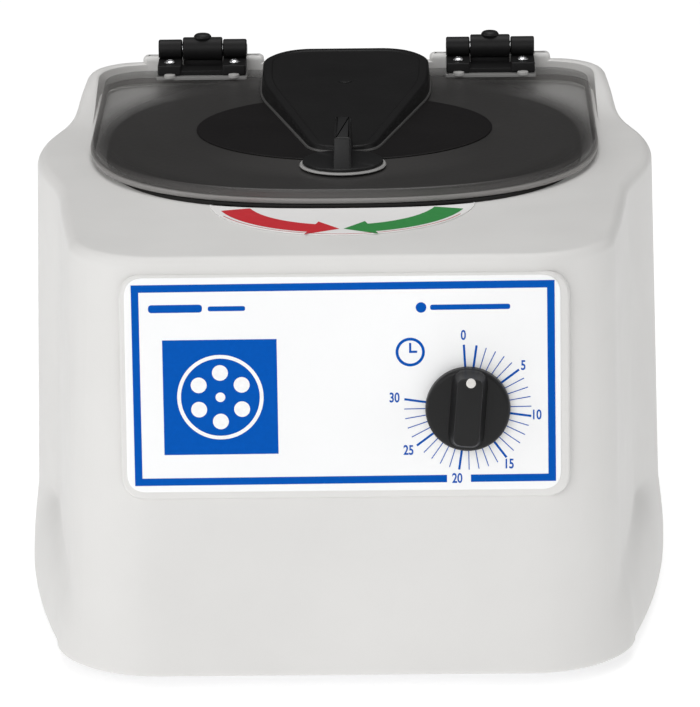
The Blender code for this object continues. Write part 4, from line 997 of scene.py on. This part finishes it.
def cover_plan():
    """The wedge cover's outline: a rounded nose at the latch, widening towards the hinges."""
    corners = [
        ((0.0148, -0.0055), 0.0120),
        ((0.0418, 0.1085), 0.0150),
        ((0.0423, 0.1490), 0.0060),
        ((0.0368, 0.1595), 0.0050),
        ((0.0300, 0.1660), 0.0040),
        ((0.0215, 0.1692), 0.0040),
    ]
    corners += [((-x, y), radius) for (x, y), radius in reversed(corners)]
    plan = []
    for i, (here, radius) in enumerate(corners):
        after = corners[(i + 1) % len(corners)][0]
        plan += corner_curve(corners[i - 1][0], here, after, radius, 8, even=False)
    return plan


def make_cover():
    plan = cover_plan()
    levels = [(inset_plan(plan, 0.0003), COVER_LOW), (plan, COVER_LOW + 0.0004)]
    rings = stacked(levels)
    edge = 0.0016
    for across, down in quarter_turn(5):
        level = inset_plan(plan, 0.0006 + edge * across)
        rings.append([(x, y, cover_top(y) - edge * down) for x, y in level])
    for inside, sunk in ((0.0050, 0.0), (0.0056, 0.0004)):
        rings.append([(x, y, cover_top(y) - sunk) for x, y in inset_plan(plan, inside)])
    cover = put("cover_shell", loft_data("cover_shell", rings), BLACK, "lid_group", 32.0)
    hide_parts("lid_cover")
    # the lip round the cover's foot is grey as a painted highlight of that edge
    outer, inner = inset_plan(plan, -0.0008), inset_plan(plan, 0.0010)
    low = COVER_LOW - 0.0002
    high = low + 0.0009
    levels = [(outer, low), (outer, low + 0.0006), (inset_plan(plan, -0.0006), high)]
    levels += [(inner, high), (inner, low)]
    lip = put("cover_lip", loft_data("cover_lip", stacked(levels), loop=True), LIP_PAINTED_HIGHLIGHT, "lid_group", 50.0)
    y = 0.108
    top = cover_top(y)
    points = [(0.0005, top - 0.001), (0.0032, top - 0.001), (0.0032, top + 0.00005), (0.0004, top - 0.0001)]
    plug = turned("cover_plug", soft_profile(points, 0.0004), 48, (0.0, y))
    put("cover_plug", plug, BLACK_SATIN, "lid_group", 50.0)


make_seal()
make_lid()
make_disc()
make_cover()


# -------------------- latch
def make_latch():
    """Flange on the lid, and the knob: a thin disc with a tall bar across it."""
    low = LID_TOP_Z + 0.0010
    high = low + 0.0010
    profile = [(0.0044, low), (0.0044, high), (0.0201, high), (0.0205, low + 0.0003), (0.0203, low)]
    data = turned("flange_ring", profile, 128, (0.0, LATCH_Y), loop=True)
    ring = put("flange_ring", data, FLANGE, "lid_group", 40.0)
    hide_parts("latch_flange")

    low += 0.0013
    high = low + 0.0014
    profile = soft_profile([(0.0010, low), (0.0192, low), (0.0190, high), (0.0010, high)], 0.0005)
    data = turned("latch_disc", profile, 128, (0.0, LATCH_Y))
    disc = put("latch_disc", data, BLACK_SATIN, "latch_group", 30.0)
    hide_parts("latch_knob")

    half = 0.0044
    front, rear = LATCH_Y - 0.0185, LATCH_Y + 0.0327
    plan = round_plan(rectangle((-half, front), (half, rear)), 0.0014, 5)
    # the underside rises to clear the cover's nose, and the front leans back
    rings = [[(x, y, low + 0.0001 + (y - front) * 0.0344) for x, y in plan]]
    edge = 0.0012
    for across, down in quarter_turn(5):
        level = inset_plan(plan, 0.0006 + edge * across)
        rings.append([(x, y + (0.0080 if y < LATCH_Y else 0.0), 0.2253 - edge * down) for x, y in level])
    bar = put("latch_bar", loft_data("latch_bar", rings), BLACK_SATIN, "latch_group", 40.0)


make_latch()


# -------------------- timer knob
def make_timer_knob():
    """Round skirt, a broad ridge across it and an ivory dot."""
    dial = panel_matrix(DIAL_X, DIAL_DROP)
    base = LABEL_FACE + 0.0004
    points = [(0.0010, base), (0.0189, base), (0.0193, base + 0.0012), (0.0190, base + 0.0046)]
    points += [(0.0180, base + 0.0057), (0.0010, base + 0.0057)]
    data = turned("dial_skirt", soft_profile(points, 0.0008), 128)
    skirt = put("dial_skirt", data, BLACK_SATIN, "timer_group", 30.0, dial)
    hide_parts("timer_knob")
    tilted = dial @ Matrix.Rotation(math.radians(-4.6), 4, "Z")
    plan = round_plan(rectangle((-0.0084, -0.0175), (0.0084, 0.0186)), 0.0072, 10)
    top = base + 0.0142
    levels = [(plan, base + 0.0040)]
    levels += [(inset_plan(plan, 0.0003), base + 0.0062), (inset_plan(plan, 0.0008), base + 0.0072)]
    for across, down in quarter_turn(5):
        levels.append((inset_plan(plan, 0.0024 + 0.0008 * across), top - 0.0012 * down))
    data = loft_data("dial_ridge", stacked(levels))
    ridge = put("dial_ridge", data, BLACK_SATIN, "timer_group", 40.0, tilted)
    low = top - 0.0008
    profile = [(0.0001, low), (0.0022, low), (0.0022, top + 0.0002), (0.0001, top + 0.00035)]
    dot = turned("dial_dot", soft_profile(profile, 0.0004), 48, (0.0002, 0.0142))
    put("dial_dot", dot, INK_DOT, "timer_group", 50.0, tilted)


make_timer_knob()


# -------------------- hinges
def along_x(data, x):
    data.transform(Matrix.Translation((x, HINGE_Y, HINGE_Z)) @ Matrix.Rotation(math.pi / 2.0, 4, "Y"))
    return data


def knuckle(name, radius, low_x, high_x):
    half = (high_x - low_x) / 2.0
    edge = 0.0005
    profile = [(0.0010, -half), (radius - edge, -half), (radius, -half + edge), (radius, half - edge)]
    profile += [(radius - edge, half), (0.0010, half)]
    return along_x(turned(name, profile, 64), (low_x + high_x) / 2.0)


def make_lid_leaf(x, suffix):
    """Two plates with the outer knuckles, joined by a thin web."""
    inner = KNUCKLE_HALF + 0.0004
    parts = []
    for part in (-1.0, 1.0):
        low_x, high_x = sorted((x + part * inner, x + part * LEAF_HALF))
        plan = round_plan(rectangle((low_x, 0.1537), (high_x, HINGE_Y)), 0.0012, 5)
        parts.append(dome_slab("plate", plan, LEAF_LOW, LEAF_HIGH, 0.0006, 3, 0.0004))
        parts.append(knuckle("knuckle", 0.0048, low_x, high_x))
    web = rectangle((x - inner - 0.002, 0.1545), (x + inner + 0.002, 0.1688))
    parts.append(dome_slab("web", web, LEAF_LOW + 0.0002, LEAF_LOW + 0.0021, 0.0002, 1))
    leaf = put("lid_leaf_" + suffix, joined("lid_leaf_" + suffix, parts), BLACK, "lid_group", 35.0)
    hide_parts("hinge_lid_leaf_" + suffix)


def make_body_leaf(x, suffix):
    """Middle knuckle on its neck, a plate behind it and a black block below the front of the knuckle that
    fills the gap there.
    """
    low = HUMP_TOP_Z + 0.0003
    rear = BACK_Y - 0.002
    blocks = (
        ("neck", KNUCKLE_HALF - 0.0003, (HINGE_Y, low), (rear - 0.002, HINGE_Z + 0.0030), 0.0008),
        ("plate", LEAF_HALF, (HINGE_Y + 0.0063, low), (rear, low + 0.005), 0.0007),
        ("gap_block", KNUCKLE_HALF - 0.0002, (0.1711, 0.2100), (0.1765, 0.2160), 0.0004),
    )
    parts = [knuckle("knuckle", 0.0059, x - KNUCKLE_HALF, x + KNUCKLE_HALF)]
    for name, half, start, end, radius in blocks:
        parts.append(bevelled_block(name, (x - half, *start), (x + half, *end), radius))
    leaf = put("body_leaf_" + suffix, joined("body_leaf_" + suffix, parts), BLACK, "base", 35.0)
    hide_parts("hinge_body_leaf_" + suffix)


def make_hinge_pad(x, suffix):
    """Frosted pad under the lid's leaf, with two round bosses at its front edge."""
    half = LEAF_HALF + 0.0006
    plan = round_plan(rectangle((x - half, 0.1512), (x + half, 0.1670)), 0.0012, 5)
    data = dome_slab("pad_" + suffix, plan, LID_TOP_Z + 0.0002, LID_TOP_Z + 0.0017, 0.0003, 2)
    made = put("pad_" + suffix, data, PAD, "lid_group", 40.0)
    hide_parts("hinge_pad_" + suffix)
    low = LEAF_LOW - 0.001
    points = [(0.0003, low), (0.0030, low), (0.0027, LEAF_LOW + 0.0008), (0.0003, LEAF_LOW + 0.0011)]
    profile = soft_profile(points, 0.0004)
    bosses = [turned("boss", profile, 40, (x + part * SCREW_X, 0.1527)) for part in (-1.0, 1.0)]
    put("pad_bosses_" + suffix, joined("b", bosses), BOSS, "lid_group", 40.0)


def make_leaf_screw(x, suffix):
    spot = (x, 0.1602)
    low = LEAF_HIGH + 0.0002
    high = low + 0.0014
    points = [(0.0003, low), (0.0028, low), (0.0028, low + 0.0005), (0.0018, low + 0.0013), (0.0003, high)]
    data = turned("screw", soft_profile(points, 0.0004), 48, spot)
    screw = put("screw_" + suffix, data, BRIGHT, "lid_group", 40.0)
    cross_slot(screw, (0.0017, 0.0003), (-0.0006, 0.002), Matrix.Translation((*spot, high)), 20.0)
    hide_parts("leaf_screw_" + suffix)


def make_cap_screw(x, suffix):
    """The friction hinge's clamping screw, on the middle knuckle."""
    low = HINGE_Z + 0.0055
    points = [(0.0003, low), (0.0045, low), (0.0045, low + 0.0009), (0.0036, low + 0.0020)]
    points += [(0.0018, low + 0.0024), (0.0003, low + 0.0025)]
    data = turned("cap", soft_profile(points, 0.0006), 64, (x, HINGE_Y + 0.0003))
    cap = put("cap_screw_" + suffix, data, BLACK_SATIN, "base", 40.0)
    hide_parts("friction_screw_" + suffix)


def make_hinge(side, suffix):
    x = side * HINGE_X
    make_lid_leaf(x, suffix)
    make_body_leaf(x, suffix)
    make_hinge_pad(x, suffix)
    for part in (-1.0, 1.0):
        make_leaf_screw(x + part * SCREW_X, suffix + ("_outer" if part * side > 0.0 else "_inner"))
    make_cap_screw(x, suffix)


for hinge_side, hinge_word in ((-1.0, "left"), (1.0, "right")):
    make_hinge(hinge_side, hinge_word)


# -------------------- materials for the nodes still shown
LOOKS = {
    "base_plate": PLATE,
    "motor_mount_plate": PLATE,
    "chamber_bowl": BOWL,
    "rotor": ROTOR,
    "rotor_nut": BLACK,
    "power_inlet": BLACK,
    "fuse_drawer": GREY,
}
for name in ("timer_body", "timer_nut", "timer_shaft", "latch_shaft", "latch_tongue", "latch_strike"):
    LOOKS[name] = STEEL
for name in ("motor_shaft", "motor", "hinge_pin_left", "hinge_pin_right"):
    LOOKS[name] = STEEL
for name, node in NODES.items():
    if node.hide_render:
        continue
    look = LOOKS.get(name)
    if name.startswith("tube_sleeve"):
        look = SLEEVE
    if name.startswith(("foot_", "isolator_")):
        look = RUBBER
    node.data.materials.clear()
    node.data.materials.append(look)


# -------------------- stage, light and camera
def make_stage():
    """Plain pale floor that glows a little, like lit white paper."""
    size = 40.0
    data = bpy.data.meshes.new("floor")
    data.from_pydata([(x, y, 0.0) for x, y in rectangle((-size, -size), (size, size))], [], [(0, 1, 2, 3)])
    paper = Nodes("floor_paper")
    paper.set(Base_Color=(0.62, 0.62, 0.62, 1.0), Roughness=0.9, Specular_IOR_Level=0.0)
    paper.set(Emission_Color=(1.0, 1.0, 1.0, 1.0), Emission_Strength=0.62)
    data.materials.append(paper.made)
    added("floor", data)


def area_light(name, place, target, size, power):
    data = bpy.data.lights.new(name, "AREA")
    data.shape = "RECTANGLE"
    data.size, data.size_y = size
    data.energy = power
    made = added(name, data)
    made.location = place
    made.rotation_euler = (Vector(target) - Vector(place)).to_track_quat("-Z", "Y").to_euler()


def make_world():
    """Studio room: dim towards the horizon behind the machine, brighter overhead and in front."""
    world = bpy.data.worlds.new("studio")
    bpy.context.scene.world = world
    world.use_nodes = True
    tree = world.node_tree
    way = tree.nodes.new("ShaderNodeTexCoord")
    split = tree.nodes.new("ShaderNodeSeparateXYZ")
    tree.links.new(way.outputs["Generated"], split.inputs["Vector"])
    total = tree.nodes.new("ShaderNodeMath")
    overhead = map_range(tree, split.outputs["Z"], (0.30, 0.95, 0.02, 0.34), "SMOOTHSTEP")
    ahead = map_range(tree, split.outputs["Y"], (-0.9, 0.1, 0.22, 0.0))
    tree.links.new(overhead, total.inputs[0])
    tree.links.new(ahead, total.inputs[1])
    background = tree.nodes["Background"]
    tree.links.new(total.outputs["Value"], background.inputs["Strength"])
    background.inputs["Color"].default_value = (1.0, 1.0, 1.0, 1.0)


def make_camera():
    """A long lens from the front, a little above the machine."""
    data = bpy.data.cameras.new("camera")
    camera = added("camera", data)
    data.sensor_width = 36.0
    data.sensor_fit = "HORIZONTAL"
    data.lens = 275.45143
    data.clip_end = 100.0
    elevation, azimuth, roll = (math.radians(angle) for angle in (16.1, 0.65, 0.71))
    level = math.cos(elevation)
    forward = Vector((-math.sin(azimuth) * level, math.cos(azimuth) * level, -math.sin(elevation)))
    level_right = Vector((math.cos(azimuth), math.sin(azimuth), 0.0))
    level_up = level_right.cross(forward)
    right = level_right * math.cos(roll) - level_up * math.sin(roll)
    up = level_up * math.cos(roll) + level_right * math.sin(roll)
    axes = Matrix((right, up, -forward)).transposed().to_4x4()
    camera.matrix_world = Matrix.Translation((0.0301, -2.4861, 0.8254)) @ axes
    bpy.context.scene.camera = camera


make_stage()
area_light("softbox_front", (-0.9, -3.2, 1.9), (0.0, 0.0, 0.10), (2.6, 2.0), 45.0)
area_light("softbox_left", (-2.6, -0.8, 1.2), (0.0, 0.0, 0.10), (1.6, 1.8), 15.5)
area_light("softbox_right", (2.6, -0.6, 1.2), (0.0, 0.0, 0.10), (1.6, 1.8), 9.5)
area_light("softbox_top", (0.0, 0.4, 2.6), (0.0, 0.05, 0.2), (1.6, 1.6), 24.0)
make_world()
make_camera()
bpy.context.scene.view_settings.view_transform = "Standard"
bpy.context.scene.view_settings.look = "None"
